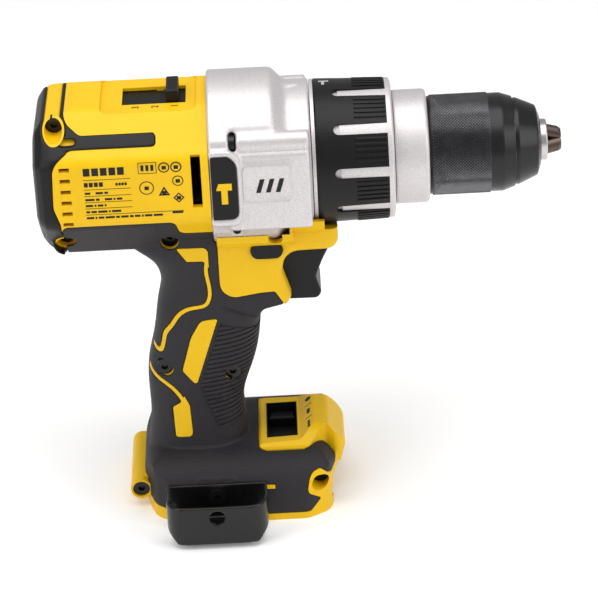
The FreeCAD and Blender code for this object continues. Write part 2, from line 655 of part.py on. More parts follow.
def make_cap():
    """Rear cap with its forward arms, its bearing seat and the lugs round its lower screw."""
    behind = block(REAR_X - 5, CAP_X, -60, 60, below(60.0), AXIS_Z + 60)
    cap_shape = housing_form(0.0).common(cap_region())
    plate = cap_shape.common(behind).cut(housing_form(SHELL))
    arms = cap_shape.cut(behind).cut(housing_form(ARM_DEPTH))
    window = both_sides(block(CAP_X + 1.2, CAP_X + 8.0, 20, 60, AXIS_Z + 20.3, AXIS_Z + 22.2))
    seat = ring(REAR_X + SHELL - 0.5, REAR_BEARING_X + 5.0, BEARING_R + 2.6, BEARING_R)
    x, z = REAR_SCREWS[1]
    lug = rod_y(x, z, POST_R + 1.0, 12.0, 25.0)
    lug = lug.cut(block(CAP_X, CAP_X + 20, 0, 60, z - 10, z + 10)).cut(housing_form(SHELL))
    return join([plate, arms, seat, both_sides(lug)]).cut(rear_posts(True)).cut(window).cut(screw_holes())


def corner_screw(x_seat, y, z):
    """Screw along X whose head's underside is at x_seat and whose shank runs back from it."""
    head = disc(x_seat, x_seat + SCREW_HEAD, SCREW_HEAD_R, y, z)
    shank = disc(x_seat - CORNER_SCREW_LENGTH, x_seat, SCREW_R, y, z)
    socket = disc(x_seat + SCREW_HEAD - 1.4, x_seat + SCREW_HEAD + 1, 1.5, y, z)
    return head.fuse(shank).cut(socket)


def make_screws():
    closing = [recessed_screw(x, z, screw_seat(x, z) - SCREW_HEAD, 10.0) for x, z in SCREW_POINTS]
    corners = [corner_screw(SEAM_X + CASE_FLANGE, y, z) for y, z in corner_places(CASE_SCREWS)]
    return {"closing_screws": Part.makeCompound(closing), "corner_screws": Part.makeCompound(corners)}


# ---- controls -------------------------------------------------------------------------------
LEVER_X = 16.0
LEVER_Z = below(35.5)
SELECTOR_X = SEAM_X - 13.8
POD_WINDOW = (11.6, 25.0, 14.8)
POD_FLOOR = FOOT_HEIGHT - 6.6  # lamp switch's track, under the window


def lever_bar(x, grow, half):
    """Oval bar of the direction lever, across the tool."""
    long_half = 6.6 + grow
    short_half = 3.3 + grow
    return plate_y([(x - long_half, LEVER_Z - short_half, short_half - 0.05),
                    (x + long_half, LEVER_Z - short_half, short_half - 0.05),
                    (x + long_half, LEVER_Z + short_half, short_half - 0.05),
                    (x - long_half, LEVER_Z + short_half, short_half - 0.05)], -half, half)


def make_controls():
    trigger_front = [
        (TRIGGER_SLOT_X + TRIGGER_TRAVEL + 1.5, below(63.6), 1.0), (36.8, below(63.8), 3.0),
        (38.2, below(61.0), 2.0), (36.0, below(53.5), 6.0), (39.0, below(46.0), 8.0),
        (43.0, below(38.0), 1.0), (31.0, below(38.2)), (29.5, below(39.6)),
        (TRIGGER_SLOT_X + TRIGGER_TRAVEL + 1.5, below(39.6)),
    ]
    face = plate_y(trigger_front, -TRIGGER_HALF, TRIGGER_HALF)
    rims = [e for e in face.Edges if e.BoundBox.YLength < 0.01 and e.BoundBox.XMax > 35.0]
    face = face.makeFillet(1.2, rims)
    stem = block(TRIGGER_SLOT_X - 2.0, TRIGGER_SLOT_X + TRIGGER_TRAVEL + 2, -4.0, 4.0, below(54.0), below(48.0))
    trigger = face.fuse(stem).removeSplitter()
    seat = disc(TRIGGER_SLOT_X + TRIGGER_TRAVEL, TRIGGER_SLOT_X + TRIGGER_TRAVEL + 5.5, 3.6, 0, below(59.0))
    trigger = trigger.cut(seat)
    spring = coil(TRIGGER_SLOT_X - 0.6, TRIGGER_SLOT_X + TRIGGER_TRAVEL + 5.0, 2.6, 0.35, 6, 0, below(59.0))
    body = block(-10.0, TRIGGER_SLOT_X - 1.0, -9.5, 9.5, below(62.0), below(44.0))
    stem_slot = block(TRIGGER_SLOT_X - 10.0, TRIGGER_SLOT_X, -4.3, 4.3, below(54.3), below(47.7))
    switch = body.cut(stem_slot)
    lever = lever_bar(LEVER_X, 0.0, BLOCK_HALF + 1.2)
    for dy in (-LEVER_TRAVEL - 0.1, 0.0, LEVER_TRAVEL + 0.1):
        lever = lever.cut(disc(SEAM_X, NECK_X, GEAR_CASE_R + 0.6, dy))
    finger = block(LEVER_X - 6.4, LEVER_X - 4.4, -2.0, 2.0, below(43.8), LEVER_Z - 1.5)
    lever = lever.fuse(finger).removeSplitter()

    top = AXIS_Z + CROWN
    slide = block(SELECTOR_X - 21.0, SELECTOR_X + 5.0, -8.2, 8.2, top - SHELL - 1.7, top - SHELL - 0.3)
    knob = block(SELECTOR_X - 2.6, SELECTOR_X + 2.6, -7.6, 7.6, top - SHELL - 0.3, top + 3.6)
    knob = knob.makeFillet(1.2, [e for e in knob.Edges if e.BoundBox.ZMin > top + 3.0])
    selector = slide.fuse(knob).removeSplitter()

    x0, x1, half = POD_WINDOW
    mode = block(x0 - 0.8, x1 + 0.8, -half - 0.6, half + MODE_TRAVEL + 0.6, POD_FLOOR - 1.6, POD_FLOOR - 0.2)
    knob = block(x0 + 1.0, x1 - 1.0, half - 7.0, half - 1.0, POD_FLOOR - 0.2, FOOT_HEIGHT - 2.4)
    knob = knob.makeFillet(1.0, [e for e in knob.Edges if e.BoundBox.ZMin > FOOT_HEIGHT - 2.5])
    mode = mode.fuse(knob).removeSplitter()
    return {"trigger": trigger, "trigger_spring": spring, "switch_module": switch,
            "direction_lever": lever, "speed_selector": selector, "lamp_mode_switch": mode}


# ---- motor ----------------------------------------------------------------------------------
STATOR_X = CAP_X + 15.0
REAR_BEARING_X = CAP_X + 4.5
FRONT_BEARING_X = SEAM_X - 1.5
FAN_X = SEAM_X - 10.5


def bearing(x0, width, outer, inner):
    """Ball bearing: two races and a cage of balls joined as one closed ring."""
    middle = (outer + inner) / 2
    inner_race = ring(x0, x0 + width, middle - 0.9, inner + RUNNING_GAP)
    outer_race = ring(x0, x0 + width, outer, middle + 0.9)
    cage = ring(x0 + 0.8, x0 + width - 0.8, middle + 1.0, middle - 1.0)
    return join([inner_race, outer_race, cage])


def make_motor():
    stator = ring(STATOR_X, STATOR_X + STATOR_LENGTH, STATOR_R, ROTOR_R + 7.5)
    tooth = block(STATOR_X, STATOR_X + STATOR_LENGTH, -2.0, 2.0,
                  AXIS_Z + ROTOR_R + 1.5, AXIS_Z + ROTOR_R + 8.0)
    shoe = ring(STATOR_X, STATOR_X + STATOR_LENGTH, ROTOR_R + 2.2, ROTOR_R + 0.5)
    shoe = shoe.common(plate_x([(0, AXIS_Z), (6.4, AXIS_Z + 20), (-6.4, AXIS_Z + 20)],
                               STATOR_X, STATOR_X + STATOR_LENGTH))
    stator = join([stator] + turned_copies(tooth.fuse(shoe), 6))
    winding = block(STATOR_X - 3.0, STATOR_X + STATOR_LENGTH + 3.0, -4.4, 4.4,
                    AXIS_Z + ROTOR_R + 2.6, AXIS_Z + ROTOR_R + 7.0)
    core = block(STATOR_X - 0.05, STATOR_X + STATOR_LENGTH + 0.05, -2.05, 2.05,
                 AXIS_Z + ROTOR_R, AXIS_Z + ROTOR_R + 9)
    windings = Part.makeCompound(turned_copies(winding.cut(core), 6))
    rotor = ring(STATOR_X + 1.0, STATOR_X + STATOR_LENGTH - 1.0, ROTOR_R, SHAFT_R)
    shaft = disc(REAR_BEARING_X - 0.5, SUN_X, SHAFT_R)
    fan_back = ring(FAN_X, FAN_X + 1.2, FAN_R, SHAFT_R)
    hub = ring(FAN_X, FAN_X + 6.0, 6.0, SHAFT_R)
    blade = block(FAN_X + 1.0, FAN_X + 6.0, -0.5, 0.5, AXIS_Z + 9.0, AXIS_Z + FAN_R - 0.5)
    blade.rotate(V(0, 0, AXIS_Z + 16.0), V(1, 0, 0), 25)
    fan = join([fan_back, hub] + turned_copies(blade, 13))
    plate = ring(SEAM_X + 1.9, SEAM_X + 3.7, CASE_BORE_R, BEARING_R).fuse(
        ring(FRONT_BEARING_X - 0.2, SEAM_X + 3.7, BEARING_R + 2.6, BEARING_R)).removeSplitter()
    board = ring(STATOR_X - 5.2, STATOR_X - 3.8, FAN_R, 9.0)
    return {
        "motor_stator": stator, "motor_windings": windings, "motor_rotor": rotor,
        "motor_shaft": shaft, "motor_fan": fan, "hall_sensor_board": board,
        "motor_bearings": Part.makeCompound([bearing(REAR_BEARING_X, 5.0, BEARING_R, SHAFT_R),
                                             bearing(FRONT_BEARING_X, 5.0, BEARING_R, SHAFT_R)]),
        "motor_mount_plate": plate,
    }


# ---- gears ----------------------------------------------------------------------------------
SUN_X = FRONT_BEARING_X + 6.0
STAGE1_X = SUN_X + 0.6
CARRIER1_X = STAGE1_X + PLANET_WIDTH + 0.6
SUN2_X = CARRIER1_X + CARRIER_THICK
STAGE2_X = SUN2_X + 0.6
CARRIER2_X = STAGE2_X + PLANET_WIDTH + 0.6
SHIFT_X = STAGE2_X + 3.4
SHIFT_LENGTH = 8.0
ADDENDUM = 0.75
DEDENDUM = 1.15
BACKLASH = 0.06
PRESSURE = math.radians(20)


def involute(angle):
    return math.tan(angle) - angle


def gear_outline(teeth, outer, inner, spare, phase):
    """Corner points of a gear whose tooth 0 points along phase; spare thins each tooth."""
    pitch = MODULE * teeth / 2
    base = pitch * math.cos(PRESSURE)
    half_pitch = (math.pi * MODULE / 2 - spare) / 2 / pitch + involute(PRESSURE)
    radii = [inner + (outer - inner) * k / 4 for k in range(5)]
    half_angles = []
    for r in radii:
        slant = math.acos(min(1.0, base / r))
        half_angles.append(half_pitch - involute(slant))
    points = []
    for tooth in range(teeth):
        centre = phase + 2 * math.pi * tooth / teeth
        for r, half in zip(radii, half_angles):
            points.append((r * math.cos(centre - half), AXIS_Z + r * math.sin(centre - half)))
        for r, half in reversed(list(zip(radii, half_angles))):
            points.append((r * math.cos(centre + half), AXIS_Z + r * math.sin(centre + half)))
    return points


def gear(teeth, x0, x1, bore, phase=0.0):
    pitch = MODULE * teeth / 2
    points = gear_outline(teeth, pitch + ADDENDUM * MODULE, pitch - DEDENDUM * MODULE, BACKLASH, phase)
    solid = plate_x(points, x0, x1)
    return solid.cut(disc(x0 - 1, x1 + 1, bore)) if bore else solid


def ring_gear(x0, x1, outer, phase):
    pitch = MODULE * RING_TEETH / 2
    points = gear_outline(RING_TEETH, pitch + DEDENDUM * MODULE, pitch - ADDENDUM * MODULE,
                          -BACKLASH, phase)
    return disc(x0, x1, outer).cut(plate_x(points, x0 - 1, x1 + 1))


def planet_places(sun, planet, start):
    """Centre (y, z) and tooth phase of each planet in mesh with a sun whose phase is 0."""
    distance = MODULE * (sun + planet) / 2
    places = []
    for i in range(PLANETS):
        around = start + 2 * math.pi * i / PLANETS
        sun_share = sun * around / (2 * math.pi)
        phase = around + math.pi - 2 * math.pi / planet * (0.5 - sun_share)
        places.append((distance * math.cos(around), distance * math.sin(around), phase, around))
    return places


def ring_phase(planet, place):
    """Phase of a ring gear's spaces that take the teeth of the planet at place."""
    share = planet * (place[3] - place[2]) / (2 * math.pi)
    return place[3] - 2 * math.pi / RING_TEETH * share


def make_planets(names, x0, teeth, places):
    planets = {}
    for name, (y, z, phase, _) in zip(names, places):
        planet = gear(teeth, x0, x0 + PLANET_WIDTH, PLANET_PIN_R + RUNNING_GAP, phase)
        planet.translate(V(0, y, z))
        planets[name] = planet
    return planets


def make_gears():
    first = planet_places(SUN_TEETH, PLANET_TEETH, math.pi / 2)
    second = planet_places(SUN2_TEETH, PLANET2_TEETH, math.pi / 2)
    nodes = make_planets(["planet_gear_1a", "planet_gear_1b", "planet_gear_1c"], STAGE1_X,
                         PLANET_TEETH, first)
    nodes.update(make_planets(["planet_gear_2a", "planet_gear_2b", "planet_gear_2c"], STAGE2_X,
                              PLANET2_TEETH, second))
    nodes["sun_pinion"] = gear(SUN_TEETH, SUN_X, STAGE1_X + PLANET_WIDTH, 0)
    pins = [disc(STAGE1_X + 0.2, CARRIER1_X, PLANET_PIN_R, y, AXIS_Z + z) for y, z, _, _ in first]
    nodes["carrier_1"] = join([ring(CARRIER1_X, SUN2_X, CARRIER_R, PLANET_PIN_R + RUNNING_GAP),
                               gear(SUN2_TEETH, SUN2_X, STAGE2_X + PLANET_WIDTH,
                                    PLANET_PIN_R + RUNNING_GAP)] + pins)
    pins = [disc(STAGE2_X + 0.2, CARRIER2_X, PLANET_PIN_R, y, AXIS_Z + z) for y, z, _, _ in second]
    pilot = disc(SUN2_X + 0.5, CARRIER2_X, PLANET_PIN_R)
    nodes["carrier_2"] = join([disc(CARRIER2_X, CARRIER2_X + CARRIER_THICK, CARRIER_R), pilot] + pins)
    nodes["ring_gear_1"] = ring_gear(STAGE1_X - 1.2, CARRIER1_X - 0.3, CASE_BORE_R,
                                     ring_phase(PLANET_TEETH, first[0]))
    nodes["shift_ring"] = ring_gear(SHIFT_X, SHIFT_X + SHIFT_LENGTH, CASE_BORE_R - SLIDE_GAP,
                                    ring_phase(PLANET2_TEETH, second[0]))
    return nodes


# ---- gear case, clutch and spindle ----------------------------------------------------------
SPINDLE_BEARING_X = CARRIER2_X + CARRIER_THICK + 3.4
RATCHET_X = SPINDLE_BEARING_X + 6.4
CASE_BORE_FRONT = SHIFT_X + SHIFT_LENGTH + 1.0
TUBE_FRONT = NOSE_X + 6.0
FRONT_SPINDLE_BEARING_X = TUBE_FRONT - 12.0
SPRING_X = COLLAR_X + 3.2
NUT_X = SPRING_X + 17.0
CLUTCH_PINS = 6
CLUTCH_PIN_AT = 19.5


def make_gear_case():
    """The cast gear case with its side pads, screw flange and clutch tube."""
    dome = turned([
        (SEAM_X, 0), (SEAM_X, GEAR_CASE_R), (SEAM_X + 26.5, GEAR_CASE_R, 4.0),
        (SEAM_X + 32.0, CASE_NECK_R, 3.0), (NECK_X, CASE_NECK_R), (NECK_X, 0),
    ])
    sides = block(SEAM_X, NECK_X, -CASE_PAD_HALF, CASE_PAD_HALF, below(50.0), AXIS_Z + 50)
    flange = disc(SEAM_X, SEAM_X + CASE_FLANGE, GEAR_CASE_R).common(
        block(SEAM_X, NECK_X, -PANEL_HALF, PANEL_HALF, below(50.0), AXIS_Z + 50))
    frame = plate_y([
        (SEAM_X, below(16.0)), (SEAM_X + 12.6, below(16.0), 4.0), (SEAM_X + 12.6, AXIS_Z + 14.0, 5.0),
        (SEAM_X + 9.0, AXIS_Z + 17.6, 3.0), (SEAM_X, AXIS_Z + 17.6)], -PANEL_HALF, PANEL_HALF)
    pad = plate_y([
        (SEAM_X + 8.0, below(19.5)), (NECK_X - 0.8, below(19.5)), (NECK_X - 0.8, AXIS_Z + 14.5),
        (SEAM_X + 8.0, AXIS_Z + 14.5)], -CASE_PAD_HALF, CASE_PAD_HALF)
    plate = plate_y([
        (SEAM_X + 10.0, below(8.2)), (28.8, below(8.2), 2.2), (28.8, AXIS_Z + 11.0, 2.2),
        (SEAM_X + 10.0, AXIS_Z + 11.0)], -CASE_PAD_HALF - PLATE_STEP, CASE_PAD_HALF + PLATE_STEP)
    tube = disc(NECK_X - 1.0, TUBE_FRONT, TUBE_R)
    ridge_y, ridge_z = CASE_SCREWS[0]
    ridge = disc(SEAM_X + CASE_FLANGE + 3.0, NECK_X - 0.8, 4.4, ridge_y, ridge_z)
    scoop = disc(SEAM_X + CASE_FLANGE, NECK_X + 1, 15.0, 42.0, AXIS_Z + 24.0)
    lugs = [disc(SEAM_X, SEAM_X + CASE_FLANGE, 4.6, y, z) for y, z in corner_places(CASE_SCREWS)]
    solid = join([dome.common(sides), flange]).cut(both_sides(scoop))
    solid = join([solid, frame, pad, plate, both_sides(ridge), tube] + lugs)
    solid = solid.cut(disc(SEAM_X - 1, CASE_BORE_FRONT, CASE_BORE_R))
    solid = solid.cut(disc(CASE_BORE_FRONT - 1, TUBE_FRONT + 1, TUBE_BORE_R))
    pin_hole = disc(CASE_BORE_FRONT - 1, NECK_X + 1, 2.0 + RUNNING_GAP, 0, AXIS_Z + CLUTCH_PIN_AT)
    for hole in turned_copies(pin_hole, CLUTCH_PINS, 30):
        solid = solid.cut(hole)
    for y, z in corner_places(CASE_SCREWS):
        solid = solid.cut(disc(SEAM_X - 1, SEAM_X + CASE_FLANGE + 1, SCREW_R + SCREW_GAP, y, z))
        solid = solid.cut(disc(SEAM_X + CASE_FLANGE, SEAM_X + CASE_FLANGE + 3.0, SCREW_HEAD_R + 1.2, y, z))
    badge = both_sides(badge_form(0.05))
    marker = plate_z([(26.5, -2.2), (32.0, 0.0), (26.5, 2.2)], AXIS_Z + 25, AXIS_Z + CASE_NECK_R + 0.8)
    marker = marker.common(disc(20.0, NECK_X, CASE_NECK_R + 0.7))
    return join([solid.cut(badge), marker])


def badge_form(grow):
    """Inset plate in the frame on the right side of the gear case's flange."""
    return plate_y([
        (SEAM_X + 0.8 - grow, below(12.6) - grow), (SEAM_X + 11.2 + grow, below(12.6) - grow, 3.0),
        (SEAM_X + 11.2 + grow, AXIS_Z + 11.5, 6.0), (SEAM_X + 8.2 + grow, AXIS_Z + 15.2 + grow, 3.0),
        (SEAM_X + 0.8 - grow, AXIS_Z + 15.2 + grow),
    ], -PANEL_HALF - 0.3, -PANEL_HALF + 1.6)


def make_clutch():
    front_r = COLLAR_R - COLLAR_TAPER
    x0 = COLLAR_X
    x1 = COLLAR_X + COLLAR_LENGTH
    wall_r = COLLAR_R - 1.9
    core = turned([
        (x0, CASE_NECK_R - 0.6), (x0 + 1.4, CASE_NECK_R - 0.4), (x0 + 1.4, wall_r),
        (x1 - 2.5, wall_r), (x1 - 2.5, front_r), (x1 - 0.6, front_r, 0.5), (x1, front_r - 1.5),
        (x1, TUBE_R + 0.6), (x1 - 2.5, TUBE_R + 0.6), (x1 - 2.5, COLLAR_BORE_R), (x0, COLLAR_BORE_R),
    ])
    window = block(x0 + 11.3, x1 - 1.0, -2.3, 2.3, AXIS_Z + wall_r - 2.2, AXIS_Z + COLLAR_R + 3)
    end = rod_z(x0 + 11.3, 0, 2.3, AXIS_Z + wall_r - 2.2, AXIS_Z + COLLAR_R + 3)
    windows = turned_copies(window.fuse(end), COLLAR_WINDOWS, WINDOW_START)
    grip_sleeve = turned([
        (x0 + 1.4, wall_r), (x0 + 1.4, COLLAR_R - 0.5), (x0 + 2.2, COLLAR_R, 0.4),
        (x1 - 2.5, front_r), (x1 - 2.5, wall_r),
    ])
    grip_ring = grip_sleeve
    for cut in windows:
        grip_ring = grip_ring.cut(cut)
    strip = block(x0 + 11.5, x1 - 2.5, -2.1, 2.1, AXIS_Z + wall_r - 0.4, AXIS_Z + COLLAR_R)
    strip = strip.common(ring(x0, x1, wall_r + 0.7, wall_r - 0.4))
    core = join([core] + turned_copies(strip, COLLAR_WINDOWS, WINDOW_START))
    key = block(NUT_X - 0.3, NUT_X + 4.3, -2.4, 2.4, AXIS_Z + 20.0, AXIS_Z + 26.2)
    keyway = block(NUT_X - CLUTCH_TRAVEL - 2.0, x1 - 2.5, -2.6, 2.6, AXIS_Z + 20.0, AXIS_Z + 26.5)
    for cut in turned_copies(keyway, 3, 15):
        core = core.cut(cut)
    nut = join([ring(NUT_X, NUT_X + 4.0, COLLAR_BORE_R - 0.8, TUBE_R + 0.1)]
               + [k.common(block(NUT_X, NUT_X + 4.0, -60, 60, 0, 300)) for k in turned_copies(key, 3, 15)])
    pins = [disc(CASE_BORE_FRONT + 0.5, NECK_X + 1.0, 2.0, 0, AXIS_Z + CLUTCH_PIN_AT)]
    pin_set = Part.makeCompound(turned_copies(pins[0], CLUTCH_PINS, 30))
    washer = ring(NECK_X + 1.0, NECK_X + 2.4, 22.6, TUBE_R + 0.2)
    spring = coil(SPRING_X + 0.4, NUT_X - 1.3, 19.6, 1.2, 4.5)
    return {"collar_core": core, "collar_grip": grip_ring, "clutch_nut": nut, "clutch_pins": pin_set,
            "clutch_washer": washer, "clutch_spring": spring}


WINDOW_START = 85.0


def make_spindle():
    """Output spindle, its bearings, the hammer ratchets and the side-handle ring."""
    spindle_end = CHUCK_X + 20.0
    spindle = disc(CARRIER2_X + CARRIER_THICK, spindle_end, SPINDLE_R)
    spindle = spindle.cut(disc(spindle_end - 14.0, spindle_end + 1, 2.5))
    rear = bearing(SPINDLE_BEARING_X, 6.0, TUBE_BORE_R, SPINDLE_R)
    front = bearing(FRONT_SPINDLE_BEARING_X, 7.0, TUBE_BORE_R, SPINDLE_R)
    tooth = block(RATCHET_X + 3.0, RATCHET_X + 3.8, -1.2, 1.2, AXIS_Z + 8.2, AXIS_Z + 11.8)
    fixed = join([ring(RATCHET_X, RATCHET_X + 3.0, TUBE_BORE_R, SPINDLE_R + 0.6)]
                 + turned_copies(tooth, 12))
    tooth.translate(V(1.4, 0, 0))
    moving = join([ring(RATCHET_X + 5.2, RATCHET_X + 8.2, TUBE_BORE_R - 0.6, SPINDLE_R)]
                  + turned_copies(tooth, 12))
    nose = turned([
        (NOSE_X, TUBE_R), (NOSE_X, NOSE_R, 0.6), (NOSE_X + NOSE_LENGTH, NOSE_R, 1.6),
        (NOSE_X + NOSE_LENGTH, SPINDLE_R + 2.5), (TUBE_FRONT, SPINDLE_R + 2.5), (TUBE_FRONT, TUBE_R),
    ])
    return {"spindle": spindle, "spindle_bearings": Part.makeCompound([rear, front]),
            "fixed_ratchet": fixed, "spindle_ratchet": moving, "side_handle_ring": nose}


# ---- chuck ----------------------------------------------------------------------------------
NUT_GROOVE_X = CHUCK_X + 24.6
NUT_GROOVE_WIDTH = 5.0
JAW_COUNT = 3


def jaw_axis_start():
    """Tip of a closed jaw's centre line, above the drive axis."""
    return V(TIP_X, 0, AXIS_Z + JAW_TIP_OFFSET)


def jaw_direction():
    slope = math.radians(JAW_ANGLE)
    return V(-math.cos(slope), 0, math.sin(slope))


def jaw_outside(x):
    """Radius that the outside of the jaws reaches at x."""
    slope = math.radians(JAW_ANGLE)
    return JAW_TIP_OFFSET + (TIP_X - x) * math.tan(slope) + JAW_R / math.cos(slope)


def make_chuck():
    sleeve_in = CHUCK_R - 2.0
    body_r = sleeve_in - 0.2
    body = turned([
        (CHUCK_X + 1.5, 0), (CHUCK_X + 1.5, body_r, 0.6), (HOOD_X - 0.5, body_r),
        (HOOD_X - 0.5, 15.5), (HOOD_X + 1.0, 15.5), (CHUCK_NOSE_X - 0.2, 9.6),
        (CHUCK_NOSE_X - 0.2, CHUCK_NOSE_R), (CHUCK_NOSE_X + CHUCK_NOSE_LENGTH, CHUCK_NOSE_R, 0.6),
        (CHUCK_NOSE_X + CHUCK_NOSE_LENGTH, 0),
    ])
    start = jaw_axis_start() - jaw_direction() * 5.0
    bore = Part.makeCylinder(JAW_R + 0.1, 90.0, start, jaw_direction())
    for cut in turned_copies(bore, JAW_COUNT):
        body = body.cut(cut)
    body = body.cut(disc(CHUCK_X, CHUCK_X + 20.0, SPINDLE_R))
    body = body.cut(disc(CHUCK_X + 19.0, TIP_X, 6.6))
    nut_r = jaw_outside(NUT_GROOVE_X) + SLIDE_GAP
    body = body.cut(ring(NUT_GROOVE_X, NUT_GROOVE_X + NUT_GROOVE_WIDTH, 30.0, nut_r - 0.1))
    sleeve = turned([
        (CHUCK_X, CHUCK_R - 0.3), (CHUCK_X + 0.8, CHUCK_R, 0.3), (HOOD_X - PART_GAP - 5.0, CHUCK_R, 3.0),
        (HOOD_X - PART_GAP, CHUCK_R - 1.7), (HOOD_X - PART_GAP, sleeve_in),
        (CHUCK_X + 1.3, sleeve_in), (CHUCK_X + 1.3, 14.5),
        (CHUCK_X, 14.5),
    ])
    hood = turned([
        (HOOD_X, 15.6), (HOOD_X, CHUCK_R - 2.6), (HOOD_X + 1.4, CHUCK_R - 2.4, 0.6),
        (CHUCK_NOSE_X - 1.5, 14.6, 1.5), (CHUCK_NOSE_X, 10.2), (CHUCK_NOSE_X, 9.7),
        (CHUCK_NOSE_X - 0.2, 9.7), (HOOD_X + 1.0, 15.6),
    ])
    nut = ring(NUT_GROOVE_X + 0.1, NUT_GROOVE_X + NUT_GROOVE_WIDTH - 0.1, sleeve_in, nut_r)
    screw = disc(CHUCK_X + 8.0, CHUCK_X + 20.0, 2.5).fuse(
        disc(CHUCK_X + 20.0, CHUCK_X + 22.5, 4.6)).cut(disc(CHUCK_X + 21.0, CHUCK_X + 23, 1.6))
    nodes = {"chuck_body": body, "chuck_sleeve": sleeve, "chuck_hood": hood, "chuck_nut": nut,
             "chuck_screw": screw}
    jaw = Part.makeCylinder(JAW_R, JAW_LENGTH, jaw_axis_start(), jaw_direction())
    wedge = plate_x([(0, AXIS_Z + 0.12), (60, AXIS_Z + 0.12 + 60 * math.tan(math.radians(30))),
                     (60, AXIS_Z + 90), (-60, AXIS_Z + 90),
                     (-60, AXIS_Z + 0.12 + 60 * math.tan(math.radians(30)))], CHUCK_X, TIP_X + 3)
    tip = cone(TIP_X - 1.2, TIP_X + 0.001, 5.2, 4.4).fuse(disc(CHUCK_X - 20, TIP_X - 1.2, 40.0))
    jaw = jaw.common(wedge).common(tip)
    for name, copy in zip(("chuck_jaw_a", "chuck_jaw_b", "chuck_jaw_c"), turned_copies(jaw, 3)):
        nodes[name] = copy
    return nodes


# ---- foot fittings --------------------------------------------------------------------------
def hook_screw_hole():
    """Hole across the foot for the belt hook's insert on each side."""
    return both_sides(rod_y(HOOK_X, HOOK_Z, 4.0, -FOOT_HALF - 5, -FOOT_HALF + 9.0))


def make_hook():
    inner = -FOOT_HALF - 0.2
    outer = -FOOT_HALF - HOOK_REACH
    x0 = HOOK_X - HOOK_WIDTH / 2
    x1 = HOOK_X + HOOK_WIDTH / 2
    bottom = 2.4
    section = plate_x([
        (inner, HOOK_HEIGHT), (inner, bottom, 3.0), (outer, bottom, 3.0), (outer, HOOK_HEIGHT),
        (outer + HOOK_THICK, HOOK_HEIGHT), (outer + HOOK_THICK, bottom + HOOK_THICK, 1.2),
        (inner - HOOK_THICK, bottom + HOOK_THICK, 1.2), (inner - HOOK_THICK, HOOK_HEIGHT),
    ], x0, x1)
    t = HOOK_THICK
    wrap = plate_z([(x0, -30), (x0, outer, 8.0), (x1, outer, 8.0), (x1, -30)], 0, HOOK_HEIGHT)
    inside = plate_z([(x0 + t, -20), (x0 + t, outer + t, 6.0), (x1 - t, outer + t, 6.0), (x1 - t, -20)], -1, 50)
    blade = wrap.cut(inside).common(block(x0, x1, outer, outer + 9.0, bottom, HOOK_HEIGHT))
    front = plate_y([(x0 + 5.0, bottom - 1), (x1 - 5.0, bottom - 1), (x1, bottom + 5.0, 2.0),
                     (x1, HOOK_HEIGHT, 1.0), (x0, HOOK_HEIGHT, 1.0), (x0, bottom + 5.0, 2.0)],
                    -100, 0)
    hook = join([section.common(wrap), blade]).common(front)
    hook = hook.cut(rod_y(HOOK_X, HOOK_Z, SCREW_R + 0.2, inner - 5, inner + 1))
    hook = hook.cut(rod_y(HOOK_X, HOOK_Z, 3.3, outer - 1, outer + t + 1))
    screw = rod_y(HOOK_X, HOOK_Z, SCREW_R, inner - HOOK_THICK, -FOOT_HALF + 7.0)
    head = rod_y(HOOK_X, HOOK_Z, SCREW_HEAD_R, inner - HOOK_THICK - 2.2, inner - HOOK_THICK)
    screw = screw.fuse(head).cut(rod_y(HOOK_X, HOOK_Z, 1.4, inner - HOOK_THICK - 3, inner - HOOK_THICK - 0.9))
    insert = rod_y(HOOK_X, HOOK_Z, 4.0, -FOOT_HALF, -FOOT_HALF + 9.0)
    insert = insert.cut(rod_y(HOOK_X, HOOK_Z, SCREW_R, -FOOT_HALF - 1, -FOOT_HALF + 8.0))
    return {"belt_hook": hook, "belt_hook_screw": screw, "hook_inserts": both_sides(insert)}


def make_foot_fittings():
    block_top = BAY_HEIGHT
    terminal = block(BAY_REAR, BAY_REAR + 14.0, -15.0, 15.0, 3.4, block_top)
    blades = []
    for y in (-10.0, -4.0, 4.0, 10.0):
        blades.append(block(BAY_REAR + 14.0, BAY_REAR + 25.0, y - 0.4, y + 0.4, 5.5, 11.0))
    board = block(-28.0, 4.0, -14.0, 14.0, BAY_HEIGHT + 2.0, BAY_HEIGHT + 6.6)
    lens = lens_form(0.0)
    return {"terminal_block": terminal, "terminal_blades": Part.makeCompound(blades),
            "controller_board": board, "lamp_lens": lens}


def lens_form(grow):
    """Oval lens set square into the pod's sloping front."""
    lens = Part.makeCylinder(1.0, 3.4, V(0, 0, 0), V(0, 0, 1))
    stretch = FreeCAD.Matrix()
    stretch.scale(3.0 + grow, 6.4 + grow, 1.0)
    lens = lens.transformGeometry(stretch)
    lens.rotate(V(0, 0, 0), V(0, 1, 0), 52)
    lens.translate(V(FOOT_FRONT - 4.0, 0, FOOT_HEIGHT - 3.3))
    return lens


def main():
    nodes = make_shells()
    nodes["rear_cap"] = make_cap()
    nodes["gear_case"] = make_gear_case()
    nodes["case_badges"] = both_sides(badge_form(0.0))
    for makers in (make_screws, make_controls, make_motor, make_gears, make_clutch, make_spindle,
                   make_chuck, make_hook, make_foot_fittings):
        nodes.update(makers())
    os.makedirs("parts", exist_ok=True)
    for name, shape in nodes.items():
        shape.exportStep("parts/" + name + ".step")
    print(len(nodes), "nodes")


main()
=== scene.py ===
# %% [markdown]
# A cordless hammer drill, finished around its CAD model. The CAD gives every part at its true size and
# place, in metres, standing on its foot with the chuck along +X. Here the parts get their finishes, and the
# rubber, the knurled chuck and the printed marks are modelled as pieces of their own.

# %% Load the fixed frame
import json
import math
import bpy
from mathutils import Matrix, Vector


